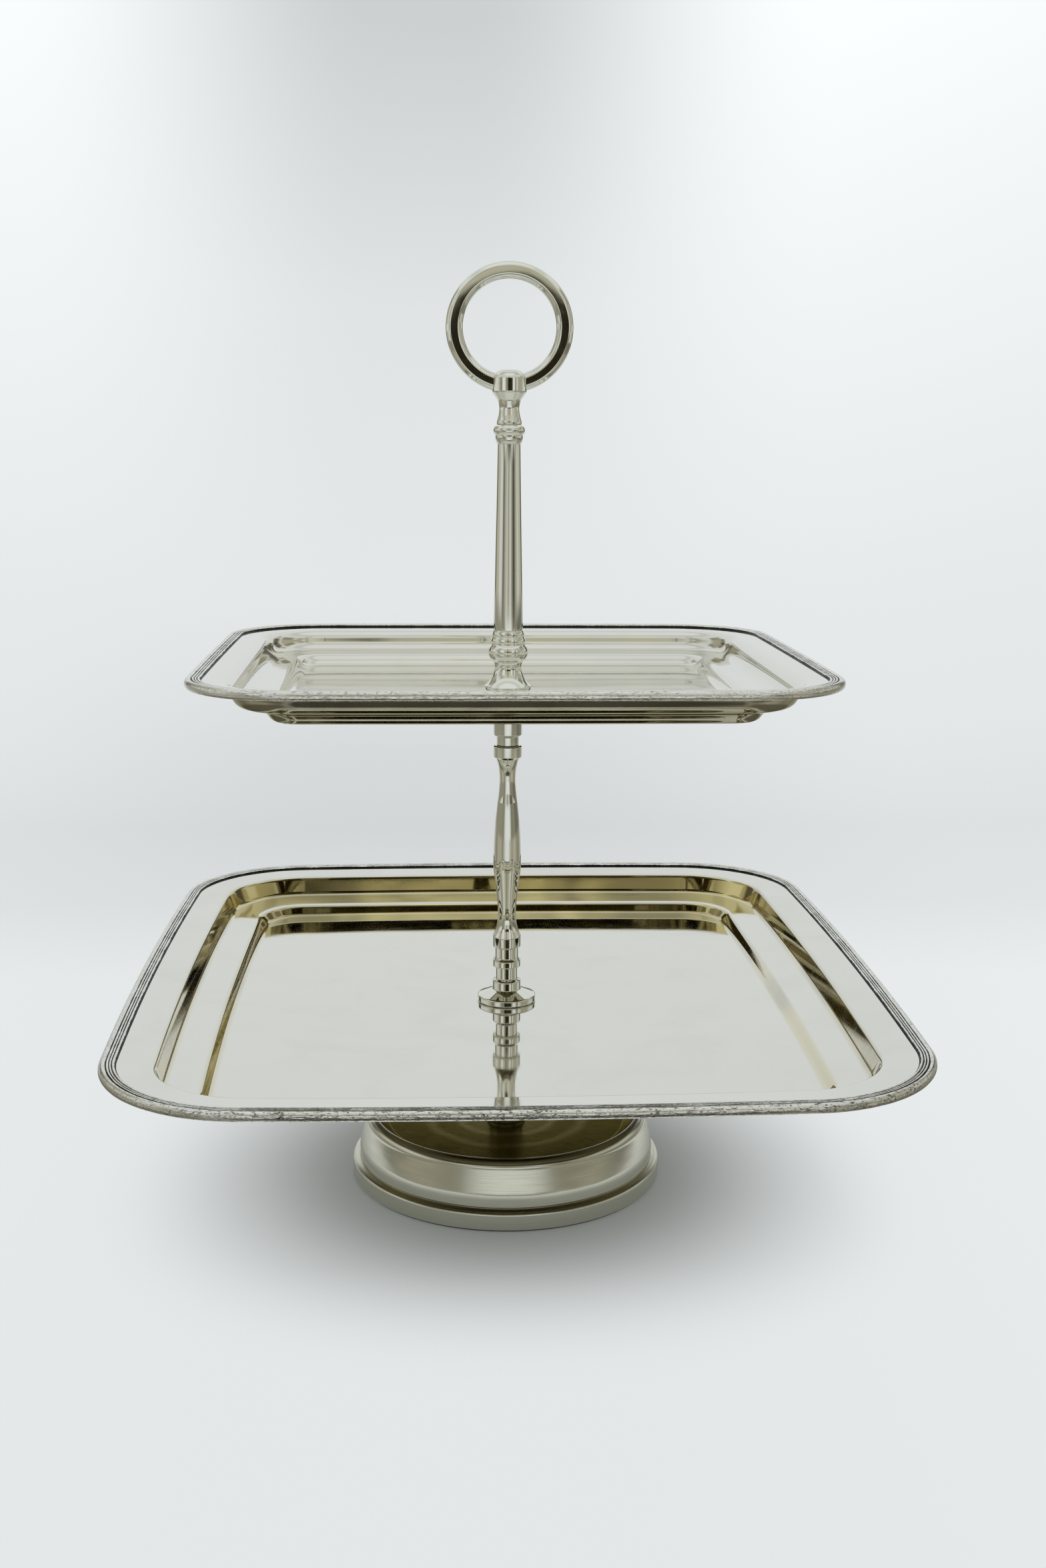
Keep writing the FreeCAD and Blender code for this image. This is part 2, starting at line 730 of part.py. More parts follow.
def lower_baluster():
    """The vase-shaped spindle between the trays, with a collar at each end."""
    chamfer = size.collar_chamfer
    (collar, low_waist, belly_foot, belly_side, belly, shoulder, high_side, high_waist, flare,
     head) = baluster_heights()
    return turned("lower_baluster", BALUSTER_LEVEL, [
        (size.bore_radius, 0),
        (size.baluster_collar_radius - chamfer, 0),
        (size.baluster_collar_radius, chamfer),
        (size.baluster_collar_radius, collar),
        (size.baluster_low_waist_radius, low_waist, -size.baluster_low_waist_bend),
        (size.baluster_belly_foot_radius, belly_foot, -size.baluster_slow_bend),
        (size.baluster_belly_side_radius, belly_side),
        (size.baluster_belly_radius, belly, size.baluster_slow_bend),
        (size.baluster_shoulder_radius, shoulder, size.baluster_shoulder_bend),
        (size.baluster_high_side_radius, high_side),
        (size.baluster_high_waist_radius, high_waist, -size.baluster_slow_bend),
        (size.baluster_flare_radius, flare, -size.baluster_high_waist_bend),
        (size.baluster_head_radius, flare + chamfer * 2),
        (size.baluster_head_radius, head - chamfer),
        (size.baluster_head_radius - chamfer, head),
        (size.bore_radius, head),
    ])


SEAT_LEVEL = BALUSTER_LEVEL + baluster_heights()[-1]


def upper_seat_collar():
    """A neck and a plain collar that carry the upper tray's washer."""
    height = SEAT_WASHER_LEVEL - SEAT_LEVEL
    chamfer = size.collar_chamfer
    return turned("upper_seat_collar", SEAT_LEVEL, [
        (size.bore_radius, 0),
        (size.seat_neck_radius, 0),
        (size.seat_neck_radius, size.seat_neck_height),
        (size.seat_collar_radius - chamfer, size.seat_neck_height + chamfer),
        (size.seat_collar_radius, size.seat_neck_height + chamfer * 2),
        (size.seat_collar_radius, height),
        (size.bore_radius, height),
    ])


def upper_support_washer():
    return washer("upper_support_washer", SEAT_WASHER_LEVEL, size.bore_radius, size.seat_washer_radius,
                  size.seat_washer_thickness)


def upper_gasket():
    return washer("upper_gasket", SEAT_GASKET_LEVEL, size.bore_radius, size.seat_gasket_radius,
                  size.gasket_thickness)


ROD_LEVEL = NUT_LEVEL - size.rod_tail
ROD_TOP = size.upper_floor_level + size.rod_engagement


def tie_rod():
    """The rod from the foot's nut through the whole lower stack, up into the upper column's base."""
    body = new_body("tie_rod", ROD_LEVEL)
    sketch = new_sketch(body, "tie_rod_section", "XY_Plane")
    add_circle(sketch, size.rod_radius)
    add_pad(body, sketch, ROD_TOP - ROD_LEVEL)
    return body


# ---- Upper column and handle ----

BASE_LEVEL = size.upper_floor_level + size.face_gap
BASE_HEIGHT = (size.base_flare_rise + size.base_waist_rise + size.base_bead_foot_rise
               + size.base_bead_height + size.base_second_bead_height + size.base_third_bead_height)
TUBE_LEVEL = BASE_LEVEL + BASE_HEIGHT
COLLAR_LEVEL = TUBE_LEVEL + size.tube_length
COLLAR_HEIGHT = size.collar_small_bead_height + size.collar_bead_height
STEM_LEVEL = COLLAR_LEVEL + COLLAR_HEIGHT
STEM_NECK_HEIGHT = size.stem_foot_height + size.stem_waist_rise + size.stem_flare_rise
BOSS_TOP = STEM_NECK_HEIGHT + size.boss_cone_rise + size.boss_height + size.boss_dome_rise
RING_CENTRE_LEVEL = STEM_LEVEL + STEM_NECK_HEIGHT + size.boss_cone_rise + size.ring_centre_rise
STUD_LEVEL = ROD_TOP + size.stud_gap


def upper_column_base():
    """A flared foot, a waist and three beads. The tie rod screws into its underside."""
    socket = size.rod_radius + size.rod_clearance
    socket_depth = ROD_TOP - BASE_LEVEL + size.blind_hole_margin
    waist = size.base_flare_rise + size.base_waist_rise
    bead = waist + size.base_bead_foot_rise
    second = bead + size.base_bead_height
    third = second + size.base_second_bead_height
    return turned("upper_column_base", BASE_LEVEL, [
        (socket, 0),
        (size.base_foot_radius, 0),
        (size.base_flare_radius, size.base_flare_rise, size.base_flare_bend),
        (size.base_waist_radius, waist, -size.base_waist_bend),
        (size.base_bead_foot_radius, bead, -size.base_bead_bend),
        (size.base_bead_head_radius, second, size.base_bead_bend),
        (size.base_third_bead_radius, third, size.base_second_bead_bend),
        (size.tube_foot_radius, BASE_HEIGHT, size.base_third_bead_bend),
        (size.bore_radius, BASE_HEIGHT),
        (size.bore_radius, socket_depth),
        (socket, socket_depth),
    ])


def upper_column_tube():
    """A long tube that tapers towards the handle."""
    return turned("upper_column_tube", TUBE_LEVEL, [
        (size.tube_bore_radius, 0),
        (size.tube_foot_radius, 0),
        (size.tube_head_radius, size.tube_length),
        (size.tube_bore_radius, size.tube_length),
    ])


def handle_collar():
    """Two beads, the upper one larger, that cap the tube."""
    return turned("handle_collar", COLLAR_LEVEL, [
        (size.bore_radius, 0),
        (size.collar_foot_radius, 0),
        (size.collar_small_bead_radius, size.collar_small_bead_height, size.collar_small_bead_bend),
        (size.stem_foot_radius, COLLAR_HEIGHT, size.collar_bead_bend),
        (size.bore_radius, COLLAR_HEIGHT),
    ])


def ring_section(body, name):
    """The ring's section: gently domed front and back faces with bevels to the inner and outer edges.
    The sketch's origin is the ring's centre, and its first axis is the ring's own axis."""
    sketch = new_sketch(body, name, "YZ_Plane")
    sketch.setExpression("AttachmentOffset.Base.y", (RING_CENTRE_LEVEL - STEM_LEVEL).formula)
    thick = size.ring_half_thickness
    thin = size.ring_edge_half_thickness
    add_loop(sketch, [
        (-thin, size.ring_inner_radius, size.ring_bevel_bend),
        (thin, size.ring_inner_radius, size.ring_bevel_bend),
        (thick, size.ring_flat_inner_radius, size.ring_bevel_bend),
        (thick, size.ring_flat_outer_radius, size.ring_face_bend),
        (thin, size.ring_outer_radius, size.ring_bevel_bend),
        (-thin, size.ring_outer_radius, size.ring_bevel_bend),
        (-thick, size.ring_flat_outer_radius, size.ring_bevel_bend),
        (-thick, size.ring_flat_inner_radius, size.ring_face_bend),
    ])
    return sketch


def handle_stem():
    """A waisted neck and a domed boss. A groove of the ring's own section seats the ring."""
    foot = size.stem_foot_height
    waist = foot + size.stem_waist_rise
    flare = waist + size.stem_flare_rise
    cone = flare + size.boss_cone_rise
    drum = cone + size.boss_height
    body = turned("handle_stem", STEM_LEVEL, [
        (size.bore_radius, 0),
        (size.stem_foot_radius, 0),
        (size.stem_foot_radius, foot),
        (size.stem_waist_radius, waist, -size.stem_waist_bend),
        (size.stem_flare_radius, flare, -size.stem_waist_bend),
        (size.boss_radius, cone),
        (size.boss_radius, drum),
        (size.boss_dome_radius, BOSS_TOP, size.boss_dome_bend),
        (0, BOSS_TOP),
        (0, size.stud_depth),
        (size.bore_radius, size.stud_depth),
    ])
    document.recompute()
    before = body.Shape.Volume
    groove = body.newObject("PartDesign::Groove", "handle_stem_seat")
    sketch = ring_section(body, "handle_stem_seat_section")
    groove.Profile = sketch
    groove.ReferenceAxis = (sketch, ["H_Axis"])
    groove.Angle = FULL_TURN
    document.recompute()
    assert body.Shape.Volume < before
    return body


def handle_ring():
    """The finger ring, standing upright across the stand's width."""
    body = new_body("handle_ring", STEM_LEVEL)
    sketch = ring_section(body, "handle_ring_section")
    spin = body.newObject("PartDesign::Revolution", "handle_ring_turning")
    spin.Profile = sketch
    spin.ReferenceAxis = (sketch, ["H_Axis"])
    spin.Angle = FULL_TURN
    return body


def handle_stud():
    """The hidden stud that ties the base, the tube, the collar and the stem together."""
    length = STEM_LEVEL + size.stud_depth - size.blind_hole_margin - STUD_LEVEL
    body = new_body("handle_stud", STUD_LEVEL)
    sketch = new_sketch(body, "handle_stud_section", "XY_Plane")
    add_circle(sketch, size.rod_radius)
    add_pad(body, sketch, length)
    return body


# ---- Assembly ----

LOWER_FORM = TrayForm("lower")
UPPER_FORM = TrayForm("upper")

PIECES = [
    foot_felt_ring(), foot_rim_ring(), foot_drum(), foot_clamp_washer(), foot_lock_washer(), foot_nut(),
    tie_rod(), foot_pillar(), lower_support_washer(), lower_gasket(),
    pressed_tray(LOWER_FORM), reeded_border(LOWER_FORM),
    lower_flange(), lower_collar(), lower_baluster(), upper_seat_collar(), upper_support_washer(),
    upper_gasket(),
    pressed_tray(UPPER_FORM), reeded_border(UPPER_FORM),
    upper_column_base(), upper_column_tube(), handle_collar(), handle_stem(), handle_ring(), handle_stud(),
]

document.recompute()

for item in document.Objects:
    if "Invalid" in item.State or "Error" in item.State:
        raise RuntimeError("%s: %s" % (item.Label, item.State))

os.makedirs("parts", exist_ok=True)
for piece in PIECES:
    if piece.Shape.isNull() or not piece.Shape.isValid():
        raise RuntimeError("%s has no valid shape" % piece.Label)
    piece.Shape.exportStep("parts/%s.step" % piece.Label)
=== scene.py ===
import math

import bpy
import numpy as np
from mathutils import Matrix, Vector, noise


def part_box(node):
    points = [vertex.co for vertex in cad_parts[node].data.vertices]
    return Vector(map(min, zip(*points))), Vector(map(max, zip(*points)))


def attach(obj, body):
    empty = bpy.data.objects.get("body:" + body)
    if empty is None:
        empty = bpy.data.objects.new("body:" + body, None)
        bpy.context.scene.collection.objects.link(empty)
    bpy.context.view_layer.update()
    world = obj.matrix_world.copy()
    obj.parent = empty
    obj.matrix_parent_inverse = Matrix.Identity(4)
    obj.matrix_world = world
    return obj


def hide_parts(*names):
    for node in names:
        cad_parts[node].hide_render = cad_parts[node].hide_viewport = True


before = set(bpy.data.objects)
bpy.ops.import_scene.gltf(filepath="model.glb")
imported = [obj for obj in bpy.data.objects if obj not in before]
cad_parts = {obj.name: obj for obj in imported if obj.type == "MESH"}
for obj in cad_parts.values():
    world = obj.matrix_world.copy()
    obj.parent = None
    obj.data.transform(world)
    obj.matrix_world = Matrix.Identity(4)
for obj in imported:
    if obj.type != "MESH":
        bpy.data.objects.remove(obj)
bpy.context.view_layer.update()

MM = 0.001
HALF_PI = math.pi / 2
SAME_POINT = 1e-6
SMALLEST_TURN = 0.15  # radians: a gentler joint in a section is left as it is
FILLET_STEPS = 5
FILLET_ROOM = 0.49  # the share of a run that the fillet at one of its ends may take
FEWEST_ARC_PIECES = 3
FEWEST_PATH_STEPS = 4

# ---------------------------------------------------------------- sections


class Line:
    def __init__(self, start, end):
        self.start = np.array(start, float)
        step = np.array(end, float) - self.start
        self.length = float(np.linalg.norm(step))
        self.direction = step / self.length

    def at(self, distance):
        return self.start + self.direction * distance, self.direction

    def pieces(self, reach, arc_step):
        return 1


class Arc:
    """An arc that turns left for a positive bend radius and right for a negative one."""

    def __init__(self, start, end, bend):
        start = np.array(start, float)
        end = np.array(end, float)
        chord = end - start
        span = float(np.linalg.norm(chord))
        left = np.array([-chord[1], chord[0]]) / span
        self.radius = abs(bend)
        self.sign = math.copysign(1.0, bend)
        rise = math.sqrt(max(bend * bend - span * span / 4, 0.0))
        self.centre = (start + end) / 2 + left * rise * self.sign
        self.first = math.atan2(start[1] - self.centre[1], start[0] - self.centre[0])
        self.length = self.radius * 2 * math.asin(min(span / 2 / self.radius, 1.0))

    def at(self, distance):
        angle = self.first + self.sign * distance / self.radius
        spoke = np.array([math.cos(angle), math.sin(angle)])
        return self.centre + spoke * self.radius, self.sign * np.array([-spoke[1], spoke[0]])

    def pieces(self, reach, arc_step):
        return max(FEWEST_ARC_PIECES, math.ceil(reach / arc_step))


def trace(corners, fillet, closed=True, arc_step=0.5):
    """Points and unit tangents along a section of lines and arcs, with each sharp corner rounded.

    A corner is (x, y), (x, y, bend) or (x, y, bend, fillet). The bend is that of the run that
    ends there.
    """
    count = len(corners)
    runs = []
    for number in range(count if closed else count - 1):
        start = corners[number]
        end = corners[(number + 1) % count]
        bend = end[2] if len(end) > 2 else 0
        runs.append(Arc(start[:2], end[:2], bend) if bend else Line(start[:2], end[:2]))
    cuts = []
    for number, corner in enumerate(corners):
        if not closed and number in (0, count - 1):
            cuts.append(0.0)
            continue
        before = runs[number - 1]
        after = runs[number]
        incoming = before.at(before.length)[1]
        outgoing = after.at(0.0)[1]
        turn = math.acos(max(-1.0, min(1.0, float(incoming @ outgoing))))
        wanted = corner[3] if len(corner) > 3 else fillet
        room = FILLET_ROOM * min(before.length, after.length)
        cuts.append(min(wanted, room) if turn > SMALLEST_TURN else 0.0)
    points = []
    tangents = []

    def add(point, tangent):
        if points and np.linalg.norm(points[-1] - point) < SAME_POINT:
            return
        points.append(np.array(point))
        tangents.append(tangent / np.linalg.norm(tangent))

    for number, run in enumerate(runs):
        following = (number + 1) % count
        start = cuts[number]
        end = run.length - cuts[following]
        for distance in np.linspace(start, end, run.pieces(end - start, arc_step) + 1):
            add(*run.at(distance))
        if cuts[following] > 0:
            first = run.at(end)[0]
            last = runs[following].at(cuts[following])[0]
            corner = np.array(corners[following][:2], float)
            for step in range(1, FILLET_STEPS):
                t = step / FILLET_STEPS
                point = (1 - t) ** 2 * first + 2 * t * (1 - t) * corner + t * t * last
                add(point, (1 - t) * (corner - first) + t * (last - corner))
    if closed and np.linalg.norm(points[-1] - points[0]) < SAME_POINT:
        points.pop()
        tangents.pop()
    return np.array(points), np.array(tangents)


# ---------------------------------------------------------------- paths


def circle_path(count):
    """A turning path: (centre x, centre y, radius, angle) for each step."""
    return np.array([(0.0, 0.0, 0.0, 2 * math.pi * k / count) for k in range(count)])


def tray_path(form, side_step, corner_step):
    """The tray's outline as steps on eight tangent arcs: four bowed sides and four corners."""
    side_x = form["half_width"] - form["bow_width"]
    end_y = form["half_depth"] - form["bow_depth"]
    reach_side = form["bow_width"] - form["corner"]
    reach_end = form["bow_depth"] - form["corner"]
    span = math.hypot(side_x, end_y)
    along = (span ** 2 + reach_side ** 2 - reach_end ** 2) / (2 * span)
    off = math.sqrt(reach_side ** 2 - along ** 2)
    unit = (-side_x / span, end_y / span)
    corner_x = side_x + unit[0] * along - unit[1] * off
    corner_y = unit[1] * along + unit[0] * off
    side_half = math.atan2(corner_y, corner_x - side_x)
    end_half = HALF_PI - math.atan2(corner_y - end_y, corner_x)
    steps = []
    for quarter in range(4):
        facing = quarter * HALF_PI
        is_side = quarter % 2 == 0
        outwards = 1 if quarter < 2 else -1
        centre = (outwards * side_x, 0.0) if is_side else (0.0, outwards * end_y)
        radius = form["bow_width"] if is_side else form["bow_depth"]
        half = side_half if is_side else end_half
        next_half = end_half if is_side else side_half
        for angle in spaced(facing - half, facing + half, radius, side_step):
            steps.append((centre[0], centre[1], radius, angle))
        sign_x = 1 if quarter in (0, 3) else -1
        sign_y = 1 if quarter in (0, 1) else -1
        first, last = facing + half, facing + HALF_PI - next_half
        for angle in spaced(first, last, form["corner"], corner_step):
            steps.append((sign_x * corner_x, sign_y * corner_y, form["corner"], angle))
    return np.array(steps)


def spaced(first, last, radius, step):
    count = max(FEWEST_PATH_STEPS, math.ceil((last - first) * radius / step))
    return np.linspace(first, last, count, endpoint=False)


# ---------------------------------------------------------------- skins


def swept(path, points, tangents):
    """Rows of positions and normals, one row for each point of the section, in millimetres."""
    cx, cy, radius, angle = path.T
    cos, sin = np.cos(angle), np.sin(angle)
    rows = np.zeros((len(points), len(path), 3))
    normals = np.zeros_like(rows)
    for number, ((x, z), (tx, tz)) in enumerate(zip(points, tangents)):
        rows[number] = np.stack([cx + (radius + x) * cos, cy + (radius + x) * sin,
                                 np.full(len(path), z)], axis=1)
        normals[number] = np.stack([tz * cos, tz * sin, np.full(len(path), -tx)], axis=1)
    return rows, normals


def make_piece(name, rows, normals, body, node, materials, strips=None, marks=None,
               turn=None):
    """A closed skin through the rows. It stands for a CAD node and rides on that node's body.

    strips gives the number of the material between each row and the next. marks are values at
    each point that a material reads. turn is the matrix that sets the piece in place.
    """
    row_count, column_count = rows.shape[:2]
    if turn is not None:
        rotation = np.array(turn.to_3x3())
        rows = rows @ rotation.T + np.array(turn.translation)
        normals = normals @ rotation.T if normals is not None else None
    ids = np.arange(row_count * column_count).reshape(row_count, column_count)
    is_pole = [float(np.ptp(row, axis=0).max()) < SAME_POINT for row in rows]
    for number, pole in enumerate(is_pole):
        if pole:
            ids[number] = ids[number][0]
    used, dense = np.unique(ids, return_inverse=True)
    dense = dense.reshape(ids.shape)
    vertices = rows.reshape(-1, 3)[used] * MM
    faces = []
    material_numbers = []
    for number in range(row_count):
        following = (number + 1) % row_count
        if is_pole[number] and is_pole[following]:
            continue
        low, high = dense[number], dense[following]
        ring = np.stack([low, np.roll(low, -1), np.roll(high, -1), high], axis=1).tolist()
        if is_pole[number] or is_pole[following]:
            ring = [list(dict.fromkeys(face)) for face in ring]
        faces += ring
        material_numbers += [strips[number] if strips is not None else 0] * len(ring)
    mesh = bpy.data.meshes.new(name)
    mesh.from_pydata(vertices.tolist(), [], faces)
    mesh.polygons.foreach_set("use_smooth", [True] * len(mesh.polygons))
    for label, values in (marks or {}).items():
        attribute = mesh.attributes.new(label, "FLOAT", "POINT")
        attribute.data.foreach_set("value", values.reshape(-1)[used].astype(np.float32))
    if normals is not None:
        mesh.normals_split_custom_set_from_vertices(normals.reshape(-1, 3)[used].tolist())
    for material in materials:
        mesh.materials.append(material)
    mesh.polygons.foreach_set("material_index", material_numbers)
    piece = bpy.data.objects.new(name, mesh)
    bpy.context.scene.collection.objects.link(piece)
    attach(piece, body)
    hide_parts(node)
    return piece


# ---------------------------------------------------------------- materials


class Shader:
    """A node tree with one Principled shader."""

    def __init__(self, name):
        self.material = bpy.data.materials.new(name)
        self.material.use_nodes = True
        self.tree = self.material.node_tree
        self.tree.nodes.clear()
        self.output = self.add("ShaderNodeOutputMaterial")

    def add(self, kind, inputs=None, **settings):
        node = self.tree.nodes.new(kind)
        for key, value in settings.items():
            setattr(node, key, value)
        for key, value in (inputs or {}).items():
            self.put(node, key, value)
        return node

    def put(self, node, key, value):
        if isinstance(value, bpy.types.NodeSocket):
            self.tree.links.new(value, node.inputs[key])
        else:
            node.inputs[key].default_value = value

    def noise(self, vector, scale, detail=3.0, roughness=0.5, distortion=0.0):
        node = self.add("ShaderNodeTexNoise", {
            "Vector": vector, "Scale": scale, "Detail": detail, "Roughness": roughness,
            "Distortion": distortion,
        })
        return node.outputs["Fac"]

    def ranged(self, value, low, high, to_low=0.0, to_high=1.0, smooth=True):
        """The value carried over from one range to another, and held at its ends."""
        node = self.add("ShaderNodeMapRange", {
            "Value": value, "From Min": low, "From Max": high, "To Min": to_low, "To Max": to_high,
        }, interpolation_type="SMOOTHSTEP" if smooth else "LINEAR")
        return node.outputs["Result"]

    def math(self, operation, *values):
        node = self.add("ShaderNodeMath", dict(enumerate(values)), operation=operation)
        return node.outputs[0]

    def blend(self, factor, first, second):
        node = self.add("ShaderNodeMix", data_type="RGBA")
        self.put(node, 0, factor)
        self.put(node, 6, first)
        self.put(node, 7, second)
        return node.outputs[2]

    def ramp(self, value, stops):
        """A colour ramp through (position, colour) stops."""
        node = self.add("ShaderNodeValToRGB", {0: value})
        elements = node.color_ramp.elements
        while len(elements) < len(stops):
            elements.new(0.5)
        for element, (position, colour) in zip(elements, sorted(stops)):
            element.position = position
            element.color = colour
        return node.outputs["Color"]

    def stretched(self, vector, scale):
        node = self.add("ShaderNodeMapping", {"Vector": vector, "Scale": scale})
        return node.outputs["Vector"]

    def bump(self, height, distance, normal=None):
        inputs = {"Height": height, "Distance": distance, "Strength": 1.0}
        if normal is not None:
            inputs["Normal"] = normal
        return self.add("ShaderNodeBump", inputs).outputs["Normal"]

    def principled(self, **inputs):
        named = {key.replace("_", " "): value for key, value in inputs.items()}
        node = self.add("ShaderNodeBsdfPrincipled", named)
        self.tree.links.new(node.outputs[0], self.output.inputs["Surface"])
        return node

    def attribute(self, name):
        return self.add("ShaderNodeAttribute", attribute_name=name).outputs["Fac"]

    def place(self):
        return self.add("ShaderNodeTexCoord").outputs["Object"]

    def split(self, vector):
        return self.add("ShaderNodeSeparateXYZ", {"Vector": vector}).outputs

    def reach(self, x, y):
        """The distance from the upright axis."""
        squares = [self.math("MULTIPLY", part, part) for part in (x, y)]
        return self.math("SQRT", self.math("ADD", *squares))


def rgb(red, green, blue):
    return (red, green, blue, 1.0)


# Metal colours. Those of the plate differ a little from piece to piece, as the photo's do.
SILVER = rgb(0.79, 0.785, 0.73)
COLUMN_SILVER = rgb(0.80, 0.80, 0.715)
NICKEL = rgb(0.70, 0.695, 0.585)
DULL = rgb(0.66, 0.63, 0.54)
TARNISH = rgb(0.20, 0.165, 0.10)
PATINA = rgb(0.022, 0.020, 0.017)
# AMBER and DARK_AMBER tint the trays' walls: partly real yellowing, partly a painted reflection of
# warm gold.
AMBER = rgb(0.66, 0.555, 0.235)
DARK_AMBER = rgb(0.30, 0.245, 0.095)
# BACK_BROWN and BACK_TAN: the floor's underside, a dark brown that is partly tarnish and partly
# painted shade.
BACK_BROWN = rgb(0.08, 0.066, 0.034)
BACK_TAN = rgb(0.17, 0.14, 0.07)
WALL_TAN = rgb(0.46, 0.43, 0.33)
WALL_SILVER = rgb(0.62, 0.59, 0.48)
RECESS_FLECK = rgb(0.42, 0.37, 0.22)
RECESS_GLANCE = rgb(0.5, 0.45, 0.3)

# The amber on the marked walls is partly real yellowing and partly painted reflection.
FULL_AMBER_SHARE = 0.92  # of the amber in a fully marked hollow
LATHE_FINENESS = 5200.0


def polished(name, wave=0.00012, wave_scale=16.0, spots=0.08, haze=(0.025, 0.075), clean=SILVER,
             amber_walls=False):
    """Mirror-polished plate: slow waves, hairlines, faint stains and small tarnish spots.

    With the flag set, the plate turns amber on the walls that the mesh marks: partly real yellowing
    in hollows that polishing misses, partly a painted reflection of warm gold, strongest at the
    back.
    """
    s = Shader(name)
    place = s.place()
    stains = s.noise(place, 24.0, 4.0, 0.6, 0.6)
    specks = s.noise(place, 620.0, 3.0, 0.65)
    gather = s.noise(place, 45.0, 2.0)
    gathered = s.ranged(gather, 0.50, 0.68, 0.0, spots)
    dots = s.math("MULTIPLY", s.ranged(specks, 0.66, 0.74), gathered)
    colour = s.blend(s.ranged(stains, 0.42, 0.78, 0.0, 0.22), clean, DULL)
    if amber_walls:
        # Amber on the marked walls: partly real yellowing, partly a painted reflection of warm
        # gold.
        patches = s.noise(place, 15.0, 2.0, 0.5, 0.3)
        amber = s.blend(s.ranged(patches, 0.38, 0.60), DARK_AMBER, AMBER)
        amber_share = s.math("MULTIPLY", s.attribute("amber_mark"), FULL_AMBER_SHARE)
        colour = s.blend(amber_share, colour, amber)
    colour = s.blend(dots, colour, TARNISH)
    smear = s.noise(s.stretched(place, (1.0, 3.0, 1.0)), 55.0, 4.0, 0.6, 1.2)
    rough = s.ranged(smear, 0.3, 0.75, haze[0], haze[1])
    rough = s.math("ADD", rough, s.math("MULTIPLY", dots, 0.3))
    waves = s.bump(s.noise(place, wave_scale, 1.0, 0.4), wave)
    hairs = s.noise(s.stretched(place, (140.0, 2200.0, 140.0)), 1.0, 2.0, 0.6)
    normal = s.bump(hairs, 0.0000006, waves)
    s.principled(Base_Color=colour, Metallic=1.0, Roughness=rough, Normal=normal)
    return s.material


def worn_border():
    """The reeded border: dark patina in the grooves, polished crests, pits and scratches."""
    s = Shader("border_metal")
    place = s.place()
    coverage = s.attribute("groove")
    wear = s.attribute("wear")
    grain = s.noise(place, 900.0, 5.0, 0.7)
    broad = s.noise(place, 120.0, 4.0, 0.6)
    for unevenness, share in ((grain, 1.1), (broad, 0.9)):
        offset = s.math("MULTIPLY", s.math("SUBTRACT", unevenness, 0.5), share)
        coverage = s.math("ADD", coverage, offset)
    coverage = s.math("ADD", coverage, s.math("MULTIPLY", wear, 0.34))
    patina = s.ranged(coverage, 0.62, 0.86)
    pits = s.noise(s.stretched(place, (1.0, 2.4, 2.4)), 520.0, 4.0, 0.72, 0.4)
    pit_mask = s.math("MULTIPLY", s.ranged(pits, 0.55, 0.62), wear)
    dark = s.math("MAXIMUM", patina, s.math("MULTIPLY", pit_mask, 0.8))
    stains = s.noise(place, 60.0, 3.0, 0.6)
    colour = s.blend(s.ranged(stains, 0.4, 0.75, 0.0, 0.45), SILVER, DULL)
    colour = s.blend(dark, colour, PATINA)
    rough = s.ranged(broad, 0.3, 0.7, 0.07, 0.20)
    rough = s.math("ADD", rough, s.math("MULTIPLY", dark, 0.35))
    dents = s.bump(s.noise(place, 210.0, 3.0, 0.6), 0.0002)
    normal = s.bump(s.math("ADD", grain, s.math("MULTIPLY", pit_mask, -2.0)), 0.00006, dents)
    s.principled(Base_Color=colour, Metallic=1.0, Roughness=rough, Normal=normal)
    return s.material


def brushed(name, haze, anisotropy):
    """Lathe-brushed plate: fine rings round the axis that stretch reflections upwards."""
    s = Shader(name)
    place = s.place()
    x, y, z = s.split(place)
    around = s.math("ARCTAN2", y, x)
    distance = s.add("ShaderNodeVectorMath", {0: place}, operation="LENGTH").outputs["Value"]
    lathe = s.add("ShaderNodeCombineXYZ", {
        0: s.math("MULTIPLY", around, 1.6),
        1: s.math("MULTIPLY", z, LATHE_FINENESS),
        2: s.math("MULTIPLY", distance, LATHE_FINENESS),
    }).outputs[0]
    rings = s.noise(lathe, 1.0, 3.0, 0.7)
    stains = s.noise(place, 30.0, 4.0, 0.6, 0.5)
    colour = s.blend(s.ranged(stains, 0.4, 0.8, 0.0, 0.35), NICKEL, DULL)
    colour = s.blend(s.ranged(rings, 0.35, 0.75, 0.0, 0.16), colour, TARNISH)
    rough = s.ranged(rings, 0.3, 0.7, haze[0], haze[1])
    waves = s.bump(s.noise(s.stretched(place, (1.0, 1.0, 2.2)), 26.0, 2.0, 0.5), 0.0004)
    normal = s.bump(rings, 0.0000035, waves)
    tangent = s.add("ShaderNodeTangent", direction_type="RADIAL", axis="Z").outputs[0]
    s.principled(Base_Color=colour, Metallic=1.0, Roughness=rough, Normal=normal,
                 Anisotropic=anisotropy, Tangent=tangent)
    return s.material


def underside(name, dark, light, haze):
    """A tray's back: less well polished plate, blotched from one colour to another."""
    s = Shader(name)
    place = s.place()
    stains = s.noise(place, 18.0, 5.0, 0.6, 0.8)
    fine = s.noise(place, 300.0, 3.0, 0.6)
    colour = s.blend(s.ranged(stains, 0.35, 0.7), dark, light)
    rough = s.ranged(fine, 0.3, 0.7, haze[0], haze[1])
    s.principled(Base_Color=colour, Metallic=1.0, Roughness=rough, Normal=s.bump(stains, 0.0002),
                 Specular_Tint=light)
    return s.material
